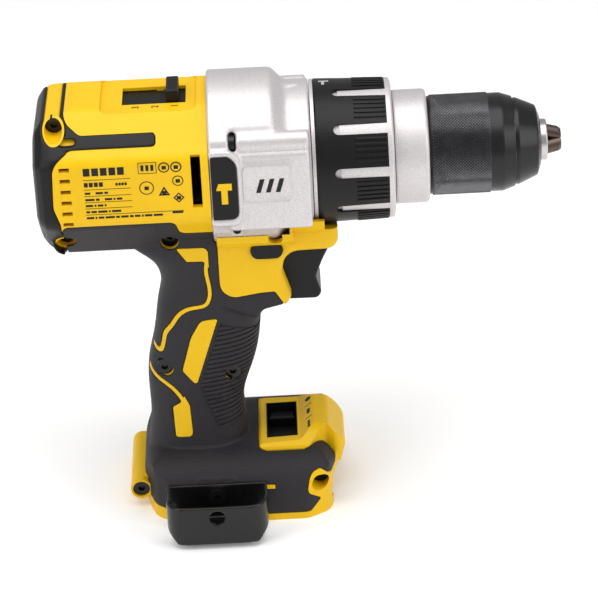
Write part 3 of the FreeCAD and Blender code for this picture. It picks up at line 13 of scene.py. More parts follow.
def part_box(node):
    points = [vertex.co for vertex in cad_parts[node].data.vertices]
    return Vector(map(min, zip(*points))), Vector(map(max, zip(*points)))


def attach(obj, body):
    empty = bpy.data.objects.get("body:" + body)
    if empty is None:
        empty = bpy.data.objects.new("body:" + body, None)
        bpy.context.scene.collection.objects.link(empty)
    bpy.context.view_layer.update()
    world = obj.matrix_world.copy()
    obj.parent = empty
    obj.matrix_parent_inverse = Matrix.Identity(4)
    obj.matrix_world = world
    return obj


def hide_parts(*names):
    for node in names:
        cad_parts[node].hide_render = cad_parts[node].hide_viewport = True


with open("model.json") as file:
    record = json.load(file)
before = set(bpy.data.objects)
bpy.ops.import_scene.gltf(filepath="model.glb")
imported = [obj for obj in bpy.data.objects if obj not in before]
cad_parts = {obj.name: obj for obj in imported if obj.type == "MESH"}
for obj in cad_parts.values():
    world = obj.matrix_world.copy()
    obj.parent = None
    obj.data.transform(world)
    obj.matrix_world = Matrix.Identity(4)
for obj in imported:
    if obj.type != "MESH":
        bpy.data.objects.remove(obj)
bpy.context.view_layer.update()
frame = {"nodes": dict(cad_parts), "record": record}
nodes = frame["nodes"]
MM = 0.001
print("CAD nodes:", len(nodes))

# %% [markdown]
# Places come from the CAD boxes. The drive axis is the middle of the spindle, and the other stations along it
# are the ends of the parts that meet there.

# %% Stations along the tool
spindle_low, spindle_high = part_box("spindle")
AXIS_Z = (spindle_low.z + spindle_high.z) / 2
SEAM_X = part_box("gear_case")[0].x
COLLAR_LOW, COLLAR_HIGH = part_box("collar_core")
SLEEVE_LOW, SLEEVE_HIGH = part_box("chuck_sleeve")
PANEL_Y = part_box("gear_case")[0].y
print("axis height", round(AXIS_Z, 4), "seam", round(SEAM_X, 4))

# %% [markdown]
# Shader maths reads best as arithmetic. One small class wraps a socket, so that recipes can be written as
# expressions, and one method adds any other node with its settings and inputs.

# %% A recipe for a finish
class Value:
    """One output socket of a material, with the arithmetic that the recipes use."""

    def __init__(self, recipe, socket):
        self.recipe = recipe
        self.socket = socket

    def __add__(self, other):
        return self.recipe.maths("ADD", self, other)

    def __radd__(self, other):
        return self.recipe.maths("ADD", other, self)

    def __sub__(self, other):
        return self.recipe.maths("SUBTRACT", self, other)

    def __rsub__(self, other):
        return self.recipe.maths("SUBTRACT", other, self)

    def __mul__(self, other):
        return self.recipe.maths("MULTIPLY", self, other)

    def __rmul__(self, other):
        return self.recipe.maths("MULTIPLY", other, self)


class Recipe:
    """A material whose Principled shader is filled in step by step."""

    def __init__(self, name):
        self.material = bpy.data.materials.new(name)
        self.material.use_nodes = True
        self.tree = self.material.node_tree
        self.shader = self.tree.nodes["Principled BSDF"]

    def node(self, kind, settings, inputs, output=0):
        made = self.tree.nodes.new(kind)
        for key, setting in settings.items():
            if key == "stops":
                self.set_stops(made.color_ramp, setting)
            else:
                setattr(made, key, setting)
        for key, value in inputs.items():
            self.join(value, made.inputs[key])
        return Value(self, made.outputs[output])

    def join(self, value, socket):
        if isinstance(value, Value):
            self.tree.links.new(value.socket, socket)
        else:
            socket.default_value = value

    def set_stops(self, ramp, stops):
        while len(ramp.elements) < len(stops):
            ramp.elements.new(0.5)
        for element, (place, shade) in zip(ramp.elements, stops):
            element.position = place
            element.color = (shade, shade, shade, 1) if isinstance(shade, (int, float)) else (*shade, 1)

    def maths(self, operation, a, b):
        return self.node("ShaderNodeMath", {"operation": operation}, {0: a, 1: b})

    def place(self):
        """Where a point lies on the piece, in metres."""
        return self.node("ShaderNodeTexCoord", {}, {}, "Object")

    def noise(self, size, detail=2.0, roughness=0.5):
        """Smooth random value from 0 to 1, with lumps about this many metres across."""
        inputs = {"Vector": self.place(), "Scale": 1 / size, "Detail": detail, "Roughness": roughness}
        return self.node("ShaderNodeTexNoise", {}, inputs, "Fac")

    def cells(self, size):
        """Distance to the nearest of scattered points, with cells about this many metres across."""
        inputs = {"Vector": self.place(), "Scale": 1 / size}
        return self.node("ShaderNodeTexVoronoi", {}, inputs, "Distance")

    def ramp(self, value, stops):
        return self.node("ShaderNodeValToRGB", {"stops": stops}, {"Fac": value})

    def mix(self, share, first, second):
        inputs = {0: share, 6: (*first, 1) if isinstance(first, tuple) else first,
                  7: (*second, 1) if isinstance(second, tuple) else second}
        return self.node("ShaderNodeMix", {"data_type": "RGBA"}, inputs, 2)

    def bump(self, height, depth, strength=1.0):
        """Surface relief of this depth in metres."""
        return self.node("ShaderNodeBump", {}, {"Height": height, "Distance": depth, "Strength": strength})

    def set(self, **sockets):
        names = {"colour": "Base Color", "rough": "Roughness", "metal": "Metallic", "normal": "Normal",
                 "coat": "Coat Weight", "coat_rough": "Coat Roughness", "specular": "Specular IOR Level",
                 "alpha": "Alpha", "transmission": "Transmission Weight", "ior": "IOR",
                 "glow": "Emission Color", "glow_strength": "Emission Strength"}
        for key, value in sockets.items():
            value = (*value, 1) if isinstance(value, tuple) else value
            self.join(value, self.shader.inputs[names[key]])
        return self.material


# %% [markdown]
# The yellow shell is moulded glass-filled nylon: a satin skin with a very fine spark-eroded texture, slightly
# cloudy in colour where the resin flowed.

# %% Finishes: plastics
def yellow_finish():
    r = Recipe("yellow nylon")
    cloud = r.noise(14 * MM, 3)
    colour = r.mix(r.ramp(cloud, [(0.3, 0.0), (0.7, 1.0)]), (0.79, 0.475, 0.003), (0.83, 0.505, 0.004))
    grain = r.noise(0.32 * MM, 2)
    rough = 0.36 + cloud * 0.08
    return r.set(colour=colour, rough=rough, normal=r.bump(grain, 0.012 * MM), specular=0.25)


def black_nylon_finish(name="black nylon", shade=0.005, rough=0.36):
    r = Recipe(name)
    cloud = r.noise(9 * MM, 3)
    grain = r.noise(0.28 * MM, 2)
    colour = r.mix(cloud, (shade * 0.8, shade * 0.8, shade * 0.85), (shade * 1.3, shade * 1.25, shade * 1.3))
    return r.set(colour=colour, rough=rough + cloud * 0.1, normal=r.bump(grain, 0.02 * MM), specular=0.25)


def rubber_finish():
    r = Recipe("soft rubber")
    cloud = r.noise(11 * MM, 3)
    pebble = r.cells(0.75 * MM)
    colour = r.mix(cloud, (0.016, 0.0145, 0.017), (0.026, 0.023, 0.026))
    return r.set(colour=colour, rough=0.55 + cloud * 0.12, normal=r.bump(pebble, 0.06 * MM), specular=0.3)


# %% [markdown]
# The gear case, the collar's core and the side-handle ring are cast and painted silver. The grain is coarse
# enough to sparkle, so the colour is speckled as well as bumped.

# %% Finishes: metals
def cast_finish():
    r = Recipe("silver casting")
    speck = r.noise(0.42 * MM, 4, 0.7)
    cloud = r.noise(12 * MM, 3)
    base = r.mix(r.ramp(speck, [(0.32, 0.0), (0.62, 1.0)]), (0.52, 0.495, 0.50), (0.73, 0.69, 0.695))
    return r.set(colour=base, metal=0.55, rough=0.40 + cloud * 0.12, normal=r.bump(speck, 0.035 * MM))


def steel_finish(name, light, dark, rough, scratch=0.25):
    r = Recipe(name)
    line = r.noise(scratch * MM, 3)
    return r.set(colour=r.mix(line, dark, light), metal=1.0, rough=rough + line * 0.12,
                 normal=r.bump(line, 0.008 * MM))


def black_oxide_finish():
    r = Recipe("black oxide")
    cloud = r.noise(6 * MM, 3)
    grain = r.noise(0.3 * MM, 2)
    colour = r.mix(cloud, (0.006, 0.006, 0.0065), (0.014, 0.014, 0.0145))
    return r.set(colour=colour, metal=0.35, rough=0.26 + cloud * 0.1, normal=r.bump(grain, 0.012 * MM))


def knurl_finish():
    r = Recipe("knurled black steel")
    cloud = r.noise(4 * MM, 3)
    return r.set(colour=r.mix(cloud, (0.11, 0.11, 0.115), (0.20, 0.20, 0.21)), metal=0.9,
                 rough=0.13 + cloud * 0.08)


def hook_finish():
    r = Recipe("black lacquered steel")
    cloud = r.noise(10 * MM, 3)
    return r.set(colour=r.mix(cloud, (0.003, 0.003, 0.003), (0.008, 0.008, 0.008)),
                 rough=0.2 + cloud * 0.12, coat=0.15, specular=0.3)


def lens_finish():
    r = Recipe("clear lens")
    return r.set(colour=(0.86, 0.88, 0.9), rough=0.12 + r.noise(3 * MM) * 0.05, transmission=0.7, ior=1.49)


def copper_finish():
    return steel_finish("enamelled copper", (0.75, 0.33, 0.16), (0.5, 0.2, 0.1), 0.3, 0.5)


def board_finish():
    r = Recipe("lacquered board")
    cloud = r.noise(2 * MM, 3)
    return r.set(colour=r.mix(cloud, (0.01, 0.12, 0.04), (0.02, 0.2, 0.07)), rough=0.3 + cloud * 0.1)


FINISH = {
    "yellow_shell": yellow_finish(),
    "rubber": rubber_finish(),
    "black_shell": black_nylon_finish(),
    "cast_metal": cast_finish(),
    "black_steel": hook_finish(),
    "chuck_black": black_oxide_finish(),
    "steel": steel_finish("turned steel", (0.66, 0.62, 0.61), (0.5, 0.47, 0.46), 0.24),
    "jaw_steel": steel_finish("hardened steel", (0.16, 0.12, 0.10), (0.07, 0.05, 0.045), 0.3),
    "lamination": steel_finish("laminated steel", (0.32, 0.32, 0.33), (0.2, 0.2, 0.21), 0.4),
    "copper": copper_finish(),
    "brass": steel_finish("turned brass", (0.8, 0.6, 0.28), (0.62, 0.44, 0.2), 0.25),
    "circuit_board": board_finish(),
    "clear_lens": lens_finish(),
}
print("finishes:", len(FINISH))

# %% [markdown]
# The record names a slot for each CAD node, so one loop gives every one of them its finish. The nodes' own
# shapes stay as they are.

# %% Give every CAD node its finish
for part in frame["record"]["subparts"]:
    mesh = nodes[part["node"]].data
    mesh.materials.clear()
    mesh.materials.append(FINISH[part["material_slot"]])

# %% [markdown]
# Every new piece starts from a primitive or from a copy of a CAD node, and operators act on whatever is
# selected. So each step begins with nothing selected and one active object.

# %% Helpers for modelling by operators
def only(piece):
    """Deselect everything, then select this object and make it active."""
    if bpy.context.object and bpy.context.object.mode != "OBJECT":
        bpy.ops.object.mode_set(mode="OBJECT")
    bpy.ops.object.select_all(action="DESELECT")
    piece.select_set(True)
    bpy.context.view_layer.objects.active = piece


def clear_selection():
    if bpy.context.object and bpy.context.object.mode != "OBJECT":
        bpy.ops.object.mode_set(mode="OBJECT")
    bpy.ops.object.select_all(action="DESELECT")


def settle(piece):
    """Put the object's place, turn and size into its mesh."""
    only(piece)
    bpy.ops.object.transform_apply(location=True, rotation=True, scale=True)
    return piece


def add_modifier(piece, kind, **settings):
    only(piece)
    modifier = piece.modifiers.new(kind.lower(), kind)
    for key, value in settings.items():
        setattr(modifier, key, value)
    bpy.ops.object.modifier_apply(modifier=modifier.name)
    return piece


def smooth(piece, degrees=35):
    only(piece)
    bpy.ops.object.shade_smooth_by_angle(angle=math.radians(degrees))
    return piece


def merged_copy(node, name):
    """A copy of a CAD node's mesh with its loose triangles joined."""
    piece = nodes[node].copy()
    piece.data = nodes[node].data.copy()
    piece.name = name
    bpy.context.scene.collection.objects.link(piece)
    piece.hide_viewport = False
    piece.hide_render = False
    piece.hide_set(False)
    only(piece)
    bpy.ops.object.mode_set(mode="EDIT")
    bpy.ops.mesh.select_all(action="SELECT")
    bpy.ops.mesh.remove_doubles(threshold=0.00001)
    bpy.ops.object.mode_set(mode="OBJECT")
    return piece


def join_all(pieces, name):
    """One object from several."""
    only(pieces[0])
    for piece in pieces:
        piece.select_set(True)
    bpy.ops.object.join()
    pieces[0].name = name
    return pieces[0]


def pick_faces(piece, wanted):
    """In edit mode, leave exactly the faces selected whose centre and normal pass a test."""
    bpy.ops.object.mode_set(mode="OBJECT")
    for vertex in piece.data.vertices:
        vertex.select = False
    for edge in piece.data.edges:
        edge.select = False
    for face in piece.data.polygons:
        face.select = bool(wanted(face.center, face.normal))
    bpy.ops.object.mode_set(mode="EDIT")
    bpy.ops.mesh.select_mode(type="FACE")


def finished(piece, body, slot, finish=None, stands_for=()):
    """Give a piece its finish, hang it on the empty of the body it rides on, and hide the CAD nodes it stands
    for.
    """
    piece.data.materials.clear()
    piece.data.materials.append(finish or FINISH[slot])
    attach(piece, body)
    if stands_for:
        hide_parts(*stands_for)
    print(piece.name, "faces:", len(piece.data.polygons))
    return piece


# %% [markdown]
# Moulded rubber and castings have no sharp edges. A voxel remesh of a merged copy turns the CAD's crisp
# solid into an even skin, and a few smoothing passes then round every edge by about half a millimetre,
# which is what catches the light along the edges of the real tool.

# %% Soft-edged copies of moulded and cast parts
def softened(node, name, voxel, passes):
    piece = merged_copy(node, name)
    add_modifier(piece, "REMESH", mode="VOXEL", voxel_size=voxel * MM, adaptivity=0.0)
    add_modifier(piece, "SMOOTH", factor=0.5, iterations=passes)
    only(piece)
    bpy.ops.object.shade_smooth()
    return piece


SOFT_PARTS = [
    ("overmould_right", "rubber_grip_right", 0.6, 4, "housing", "rubber"),
    ("overmould_left", "rubber_grip_left", 0.6, 4, "housing", "rubber"),
    ("rear_cap", "moulded_rear_cap", 0.7, 4, "housing", "black_shell"),
    ("gear_case", "cast_gear_case", 0.8, 3, "housing", "cast_metal"),
    ("trigger", "moulded_trigger", 0.5, 4, "trigger", "black_shell"),
    ("belt_hook", "pressed_belt_hook", 0.5, 4, "housing", "black_steel"),
    ("side_handle_ring", "cast_handle_ring", 0.5, 3, "housing", "cast_metal"),
]
for node, name, voxel, passes, body, slot in SOFT_PARTS:
    finished(softened(node, name, voxel, passes), body, slot, stands_for=(node,))


# %% [markdown]
# The front of the grip has a panel of fine ribs that wraps round it. Its skin is cut out of a copy of the
# rubber with straight cuts, sliced into strips, and the strips are thickened, so that the ribs follow the
# grip's own curve.

# %% Ribs on the front of the grip
RIB_PITCH = 2.2 * MM
RIB_TILT = Vector((-0.10, 0.0, 0.995))
RIB_HEIGHT = 0.45 * MM
GRIP_MIDDLE_X = -16 * MM
PANEL_CUTS = [                       # a point on each cut and the way off the panel, in X and Z
    ((-14.2, 52.0), (-0.94, -0.34)),
    ((-4.6, 89.0), (-0.947, 0.321)),
    ((4.0, 83.0), (0.35, 0.94)),
    ((0.0, 88.0), (0.57, 0.82)),
    ((-11.0, 36.5), (-0.2, -0.98)),
    ((-12.6, 44.0), (-0.98, -0.2)),
]


def cut_off(piece, point, away):
    """Remove what lies beyond a plane."""
    only(piece)
    bpy.ops.object.mode_set(mode="EDIT")
    bpy.ops.mesh.select_all(action="SELECT")
    bpy.ops.mesh.bisect(plane_co=point, plane_no=away, clear_outer=True)
    bpy.ops.object.mode_set(mode="OBJECT")


def grip_ribs(node, name):
    piece = merged_copy(node, name)
    for (x, z), (away_x, away_z) in PANEL_CUTS:
        cut_off(piece, (x * MM, 0, z * MM), (away_x, 0, away_z))
    only(piece)
    pick_faces(piece, lambda c, n: n.x * (c.x - GRIP_MIDDLE_X) + n.y * c.y < 0.2 * MM)
    bpy.ops.mesh.delete(type="FACE")
    first = 36.0 * MM
    for row in range(26):
        for edge in (0.0, RIB_PITCH * 0.72):
            bpy.ops.mesh.select_all(action="SELECT")
            bpy.ops.mesh.bisect(plane_co=(0, 0, first + row * RIB_PITCH + edge), plane_no=RIB_TILT)

    def between_ribs(centre, normal):
        height = (centre - Vector((0, 0, first))).dot(RIB_TILT) / RIB_TILT.z
        return height < 0 or (height / RIB_PITCH) % 1.0 > 0.72

    pick_faces(piece, between_ribs)
    bpy.ops.mesh.delete(type="FACE")
    bpy.ops.object.mode_set(mode="OBJECT")
    add_modifier(piece, "SOLIDIFY", thickness=RIB_HEIGHT, offset=1.0)
    add_modifier(piece, "BEVEL", width=0.12 * MM, segments=1, limit_method="ANGLE",
                 angle_limit=math.radians(60))
    return smooth(piece, 40)


for side in ("right", "left"):
    finished(grip_ribs("overmould_" + side, "grip_ribs_" + side), "housing", "rubber")


# %% [markdown]
# The chuck's sleeve is diamond knurled: two thousand small pyramids. One is a four-sided cone, arrayed
# along the sleeve and then round it with an empty that is turned by one step.

# %% Knurling on the chuck
KNURL_STEP_X = 1.25 * MM
KNURL_ROUND = 100
SLEEVE_R = (SLEEVE_HIGH.z - SLEEVE_LOW.z) / 2
KNURL_START = SLEEVE_LOW.x + 1.6 * MM
KNURL_ROWS = 19
KNURL_DEPTH = 0.6 * MM
KNURL_STANDS = 0.14 * MM            # how far a pyramid's middle stands off the sleeve


def ring_of_copies(piece, count):
    """Repeat a piece evenly round the drive axis."""
    clear_selection()
    bpy.ops.object.empty_add(location=(0, 0, AXIS_Z), rotation=(math.tau / count, 0, 0))
    turner = bpy.context.object
    only(piece)
    piece.location = (0, 0, 0)
    bpy.context.scene.cursor.location = (0, 0, AXIS_Z)
    bpy.ops.object.origin_set(type="ORIGIN_CURSOR")
    modifier = piece.modifiers.new("round", "ARRAY")
    modifier.use_relative_offset = False
    modifier.use_object_offset = True
    modifier.offset_object = turner
    modifier.count = count
    bpy.ops.object.modifier_apply(modifier=modifier.name)
    bpy.data.objects.remove(turner)
    return settle(piece)


def knurl_rows(name, shift_x, turn):
    clear_selection()
    width = math.tau * SLEEVE_R / KNURL_ROUND
    place = (KNURL_START + shift_x, 0, AXIS_Z + SLEEVE_R + KNURL_STANDS)
    bpy.ops.mesh.primitive_cone_add(vertices=4, radius1=0.62 * KNURL_STEP_X, radius2=0.12 * MM,
                                    depth=KNURL_DEPTH, location=place)
    piece = bpy.context.object
    piece.name = name
    piece.scale.y = width / KNURL_STEP_X
    settle(piece)
    add_modifier(piece, "ARRAY", use_relative_offset=False, use_constant_offset=True,
                 constant_offset_displace=(KNURL_STEP_X, 0, 0), count=KNURL_ROWS)
    bpy.context.scene.cursor.location = (0, 0, AXIS_Z)
    bpy.ops.object.origin_set(type="ORIGIN_CURSOR")
    piece.rotation_euler.x = turn
    settle(piece)
    return ring_of_copies(piece, KNURL_ROUND)


knurl = join_all([knurl_rows("knurl", 0.0, 0.0),
                  knurl_rows("knurl_b", KNURL_STEP_X / 2, math.pi / KNURL_ROUND)], "sleeve_knurl")
finished(knurl, "chuck_sleeve", "chuck_black", knurl_finish())


# %% [markdown]
# The clutch collar's black pads each carry five fine ribs towards the front. One rib is a long block with
# bevelled edges, copied across a pad and then round the collar.

# %% Ribs on the collar's pads
PAD_COUNT = 10
PAD_PHASE = math.radians(-6.0)
RIB_X = COLLAR_HIGH.x - 9.4 * MM
RIB_RADIUS = 29.4 * MM
COLLAR_SLOPE = math.radians(1.9)


def spin_about_axis(piece, angle):
    """Turn a piece about the drive axis and leave the turn in its mesh."""
    only(piece)
    bpy.context.scene.cursor.location = (0, 0, AXIS_Z)
    bpy.ops.object.origin_set(type="ORIGIN_CURSOR")
    piece.rotation_euler.x = angle
    return settle(piece)


def collar_ribs():
    ribs = []
    for index in range(5):
        clear_selection()
        bpy.ops.mesh.primitive_cube_add(size=1, location=(RIB_X, 0, AXIS_Z + RIB_RADIUS))
        rib = bpy.context.object
        rib.scale = (13.0 * MM, 1.3 * MM, 0.9 * MM)
        rib.rotation_euler.y = COLLAR_SLOPE
        settle(rib)
        add_modifier(rib, "BEVEL", width=0.35 * MM, segments=2)
        ribs.append(spin_about_axis(rib, PAD_PHASE + math.radians(4.3) * (index - 2)))
    return smooth(ring_of_copies(join_all(ribs, "collar_ribs"), PAD_COUNT))


finished(collar_ribs(), "clutch_collar", "black_shell")


# %% [markdown]
# Printed and moulded marks are thin plates that stand a few hundredths of a millimetre off the surface.
# They are plain rules, boxes and pictograms: no words, and digits only where the gear numbers are.

# %% Ink and marks
ink = black_nylon_finish("printing ink", 0.012, 0.5)
mark_yellow = yellow_finish()


def flat_shape(name, points, y_face, height, finish_y=-1):
    """A thin plate on a side face, from (x, z) corner points in millimetres."""
    clear_selection()
    bpy.ops.mesh.primitive_circle_add(vertices=len(points), radius=1, fill_type="NGON", location=(0, 0, 0))
    piece = bpy.context.object
    piece.name = name
    for vertex, (x, z) in zip(piece.data.vertices, points):
        vertex.co = (x * MM, y_face * MM, z * MM)
    settle(piece)
    bpy.ops.object.mode_set(mode="EDIT")
    bpy.ops.mesh.select_all(action="SELECT")
    bpy.ops.mesh.extrude_region_move(TRANSFORM_OT_translate={"value": (0, finish_y * height * MM, 0)})
    bpy.ops.mesh.select_all(action="SELECT")
    bpy.ops.mesh.normals_make_consistent(inside=False)
    bpy.ops.object.mode_set(mode="OBJECT")
    return piece


def box_points(x0, x1, z0, z1):
    return [(x0, z0), (x1, z0), (x1, z1), (x0, z1)]


# Each row of dashes: its height, and the lengths of its dashes, with a point for a wide gap.
LABEL_ROWS = [(158.3, "3.42"), (155.4, "52.413"), (152.7, "4131"), (149.9, "23515"), (147.2, "41352423145")]
LABEL_FACE = PANEL_Y / MM
INK_HEIGHT = 0.06                   # millimetres


def label_marks():
    """A rating label without words: a heading bar, rules, rows of short dashes and three plain signs."""
    marks = []
    rows = [(-56.3, 19.0, 166.5, 3.4), (-56.3, 9.5, 161.6, 2.0), (-43.5, 6.0, 161.8, 1.2)]
    for x, length, z, height in rows:
        step = height * 1.02
        for k in range(int(length / step)):
            marks.append(box_points(x + k * step, x + k * step + step * 0.78, z, z + height))
    for z in (164.6, 160.3, 157.4, 154.6, 151.8, 149.0):
        marks.append(box_points(-56.5, -37.3 if z > 150 else -16.5, z, z + 0.22))
    for z, cells in LABEL_ROWS:
        x = -56.2
        for cell in cells:
            if cell != ".":
                length = int(cell) * 0.75
                marks.append(box_points(x, x + length, z, z + 0.95))
                x += length + 0.55
            else:
                x += 1.6
    marks.append(box_points(-34.0, -26.5, 171.2, 171.45))
    marks.append(box_points(-34.0, -26.5, 166.4, 166.65))
    marks.append(box_points(-34.0, -33.75, 166.4, 171.4))
    marks.append(box_points(-26.75, -26.5, 166.4, 171.4))
    for x in (-32.9, -30.9, -28.9):
        marks.append(box_points(x, x + 1.2, 167.6, 170.2))
    marks.append(box_points(-21.2, -16.8, 148.0, 148.9))
    pieces = [flat_shape("label_mark", points, LABEL_FACE, INK_HEIGHT) for points in marks]
    for x, z, radius, inner, corners in ((-31.0, 160.0, 3.0, 2.6, 32), (-24.0, 157.6, 2.7, 2.1, 3),
                                         (-23.5, 168.8, 2.3, 1.8, 32), (-18.6, 168.8, 2.3, 1.8, 32),
                                         (-18.2, 162.6, 2.3, 1.9, 32), (-18.2, 155.0, 2.3, 1.8, 4)):
        turns = [math.tau * k / corners for k in range(corners)]
        outer = [(x + radius * math.sin(turn), z + radius * math.cos(turn)) for turn in turns]
        ring = flat_shape("label_sign", outer, LABEL_FACE, INK_HEIGHT)
        only(ring)
        pick_faces(ring, lambda c, n: n.y < -0.9)
        bpy.ops.mesh.inset(thickness=(radius - inner) * MM)
        middle = Vector((x * MM, z * MM))
        pick_faces(ring, lambda c, n: abs(n.y) > 0.9 and (c.xz - middle).length < 0.2 * radius * MM)
        bpy.ops.mesh.delete(type="FACE")
        bpy.ops.object.mode_set(mode="OBJECT")
        pieces.append(ring)
        dot = box_points(x - 0.9, x + 0.9, z - 0.9, z + 0.7)
        pieces.append(flat_shape("label_dot", dot, LABEL_FACE, INK_HEIGHT))
    return join_all(pieces, "rating_label_marks")


finished(label_marks(), "housing", "black_shell", ink)

# %% [markdown]
# The gear case has a black badge with a yellow hammer on each side, and a raised plate with a rim. The plate
# is a thin block whose face is inset and pushed in, which leaves the rim. Three slanted strokes stand on it.

# %% Pictograms on the badge, the raised plate and the lamp pod
def hammer_points(cx, cz, k):
    head = [(-3.1, 2.2), (-2.2, 4.6), (3.2, 4.6), (3.2, 1.6), (1.4, 1.6), (1.4, -4.6), (-1.2, -4.6),
            (-1.2, 1.6), (-3.1, 1.6)]
    return [(cx + k * x, cz + k * z) for x, z in head]


badge_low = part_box("case_badges")[0]
hammer = flat_shape("near_hammer", hammer_points(0.3, 155.6, 1.0), badge_low.y / MM, 0.12)
far_hammer = flat_shape("far_hammer", hammer_points(0.3, 155.6, 1.0), -badge_low.y / MM, 0.12, 1)
finished(join_all([hammer, far_hammer], "badge_hammers"), "housing", "yellow_shell", mark_yellow)


def rounded_box(x0, x1, z0, z1, radius, steps=6):
    """Corner points of a box with round corners."""
    points = []
    for cx, cz, start in ((x1 - radius, z1 - radius, 0), (x0 + radius, z1 - radius, 90),
                          (x0 + radius, z0 + radius, 180), (x1 - radius, z0 + radius, 270)):
        for k in range(steps + 1):
            angle = math.radians(start + 90 * k / steps)
            points.append((cx + radius * math.cos(angle), cz + radius * math.sin(angle)))
    return points


def case_plate(side):
    """A raised plate with a rim round a slightly sunk field."""
    piece = flat_shape("case_plate", rounded_box(8.0, 28.2, 149.4, 166.4, 2.2), side * 33.15, 0.6, side)
    pick_faces(piece, lambda c, n: n.y * side > 0.9)
    bpy.ops.mesh.inset(thickness=0.9 * MM)
    bpy.ops.mesh.extrude_region_move(TRANSFORM_OT_translate={"value": (0, -side * 0.3 * MM, 0)})
    bpy.ops.object.mode_set(mode="OBJECT")
    add_modifier(piece, "BEVEL", width=0.14 * MM, segments=2, limit_method="ANGLE",
                 angle_limit=math.radians(40))
    return smooth(piece)


finished(join_all([case_plate(-1), case_plate(1)], "case_plates"), "housing", "cast_metal")
strokes = []
for side in (-1, 1):
    for k in range(3):
        x = 13.2 + 4.0 * k
        corners = [(x, 154.6), (x + 1.9, 154.6), (x + 3.7, 160.6), (x + 1.8, 160.6)]
        strokes.append(flat_shape("speed_stroke", corners, side * 33.45, 0.12, side))
finished(join_all(strokes, "plate_strokes"), "housing", "black_shell", ink)


def top_mark(name, points, z_face):
    """A thin plate on an upward face, from (x, y) corners in millimetres."""
    clear_selection()
    bpy.ops.mesh.primitive_circle_add(vertices=len(points), radius=1, fill_type="NGON", location=(0, 0, 0))
    piece = bpy.context.object
    piece.name = name
    for vertex, (x, y) in zip(piece.data.vertices, points):
        vertex.co = (x * MM, y * MM, z_face * MM)
    settle(piece)
    bpy.ops.object.mode_set(mode="EDIT")
    bpy.ops.mesh.select_all(action="SELECT")
    bpy.ops.mesh.extrude_region_move(TRANSFORM_OT_translate={"value": (0, 0, 0.1 * MM)})
    bpy.ops.mesh.select_all(action="SELECT")
    bpy.ops.mesh.normals_make_consistent(inside=False)
    bpy.ops.object.mode_set(mode="OBJECT")
    return piece


def gear_number(digit, x, y, z):
    """A gear number beside the speed slide, made a mesh before it is placed."""
    clear_selection()
    bpy.ops.object.text_add(location=(0, 0, 0))
    text = bpy.context.object
    text.data.body = digit
    text.data.size = 4.2 * MM
    text.data.extrude = 0.06 * MM
    text.data.align_x = "CENTER"
    bpy.ops.object.convert(target="MESH")
    mesh = bpy.context.object
    mesh.rotation_euler.z = math.radians(90)
    mesh.location = (x * MM, y * MM, z * MM)
    return settle(mesh)


DIP_Z = AXIS_Z / MM + 28.9           # the sunk strip that the speed slide runs in
places = (("3", -33.0), ("2", -25.0), ("1", -17.0))
digits = [gear_number(digit, x, -11.6, DIP_Z + 0.08) for digit, x in places]
finished(join_all(digits, "gear_numbers"), "housing", "black_shell", ink)

# %% [markdown]
# The collar's rim carries a small silver hammer sign, which lines up with the pointer on the gear case when
# the clutch is set for hammer drilling.

# %% Sign on the clutch collar
SIGN_X = 42.6


def collar_sign(points, angle):
    piece = top_mark("collar_sign", points, AXIS_Z / MM + 29.98)
    return spin_about_axis(piece, angle)


hammer_sign = [(-0.6, -2.2), (0.6, -2.2), (0.6, 1.0), (2.4, 1.0), (2.4, 2.2), (-1.8, 2.2), (-1.8, 1.0),
               (-0.6, 1.0)]
sign = collar_sign([(SIGN_X + x, y) for x, y in hammer_sign], PAD_PHASE + math.radians(3))
finished(sign, "clutch_collar", "cast_metal")

# %% [markdown]
# The lamp switch's track is a well under a yellow frame. Its walls are yellow, and a thin black liner paints
# shade on them; each closing screw sits at the bottom of a dark bore, which a thin liner gives its own black
# walls.

# %% Liners of the switch window and the screw bores
# Each bore's x and z, and the y of its mouth and of its screw's seat, in millimetres.
BORES = [(-24.0, 127.5, -17.0, -12.5), (-30.2, 65.2, -12.6, -11.5), (-1.3, 61.5, -13.4, -11.5)]
WELL_LOW = Vector((11.6, -14.8, 20.5)) * MM
WELL_HIGH = Vector((25.0, 14.8, 28.2)) * MM


def open_box(name, low, high, wall):
    """Four walls with no floor or lid."""
    clear_selection()
    middle = (low + high) / 2
    bpy.ops.mesh.primitive_cube_add(size=1, location=middle)
    piece = bpy.context.object
    piece.name = name
    piece.scale = high - low
    settle(piece)
    pick_faces(piece, lambda c, n: abs(n.z) > 0.9)
    bpy.ops.mesh.delete(type="FACE")
    bpy.ops.object.mode_set(mode="OBJECT")
    return add_modifier(piece, "SOLIDIFY", thickness=wall, offset=-1.0)


# Painted shade: black walls laid inside a well whose own walls are yellow.
finished(open_box("switch_window_painted_shade_liner", WELL_LOW, WELL_HIGH, 0.5 * MM), "housing", "black_shell")


def bore_liner(x, z, y_mouth, y_seat):
    """A short tube that lines one screw's bore."""
    clear_selection()
    bpy.ops.mesh.primitive_cylinder_add(vertices=40, radius=3.72 * MM, depth=(y_seat - y_mouth) * MM,
                                        end_fill_type="NOTHING", rotation=(math.radians(90), 0, 0),
                                        location=(x * MM, (y_mouth + y_seat) / 2 * MM, z * MM))
    piece = settle(bpy.context.object)
    add_modifier(piece, "SOLIDIFY", thickness=0.35 * MM, offset=-1.0)
    return smooth(piece)


liners = [bore_liner(x, z, y_mouth, y_seat) for x, z, y_mouth, y_seat in BORES]
finished(join_all(liners, "screw_bore_liners"), "housing", "black_shell")

# %% [markdown]
# Three signs on the sloping ridge show the lamp's settings. Each is a row of one, two or three dots, made
# flat and then tilted to the slope, with a fine rule between them.

# %% Signs on the ridge of the lamp pod
RIDGE_TILT = math.radians(-37.7)
RIDGE_X = 30.0
RIDGE_Z = 31.66
DOT_STEP = 1.9


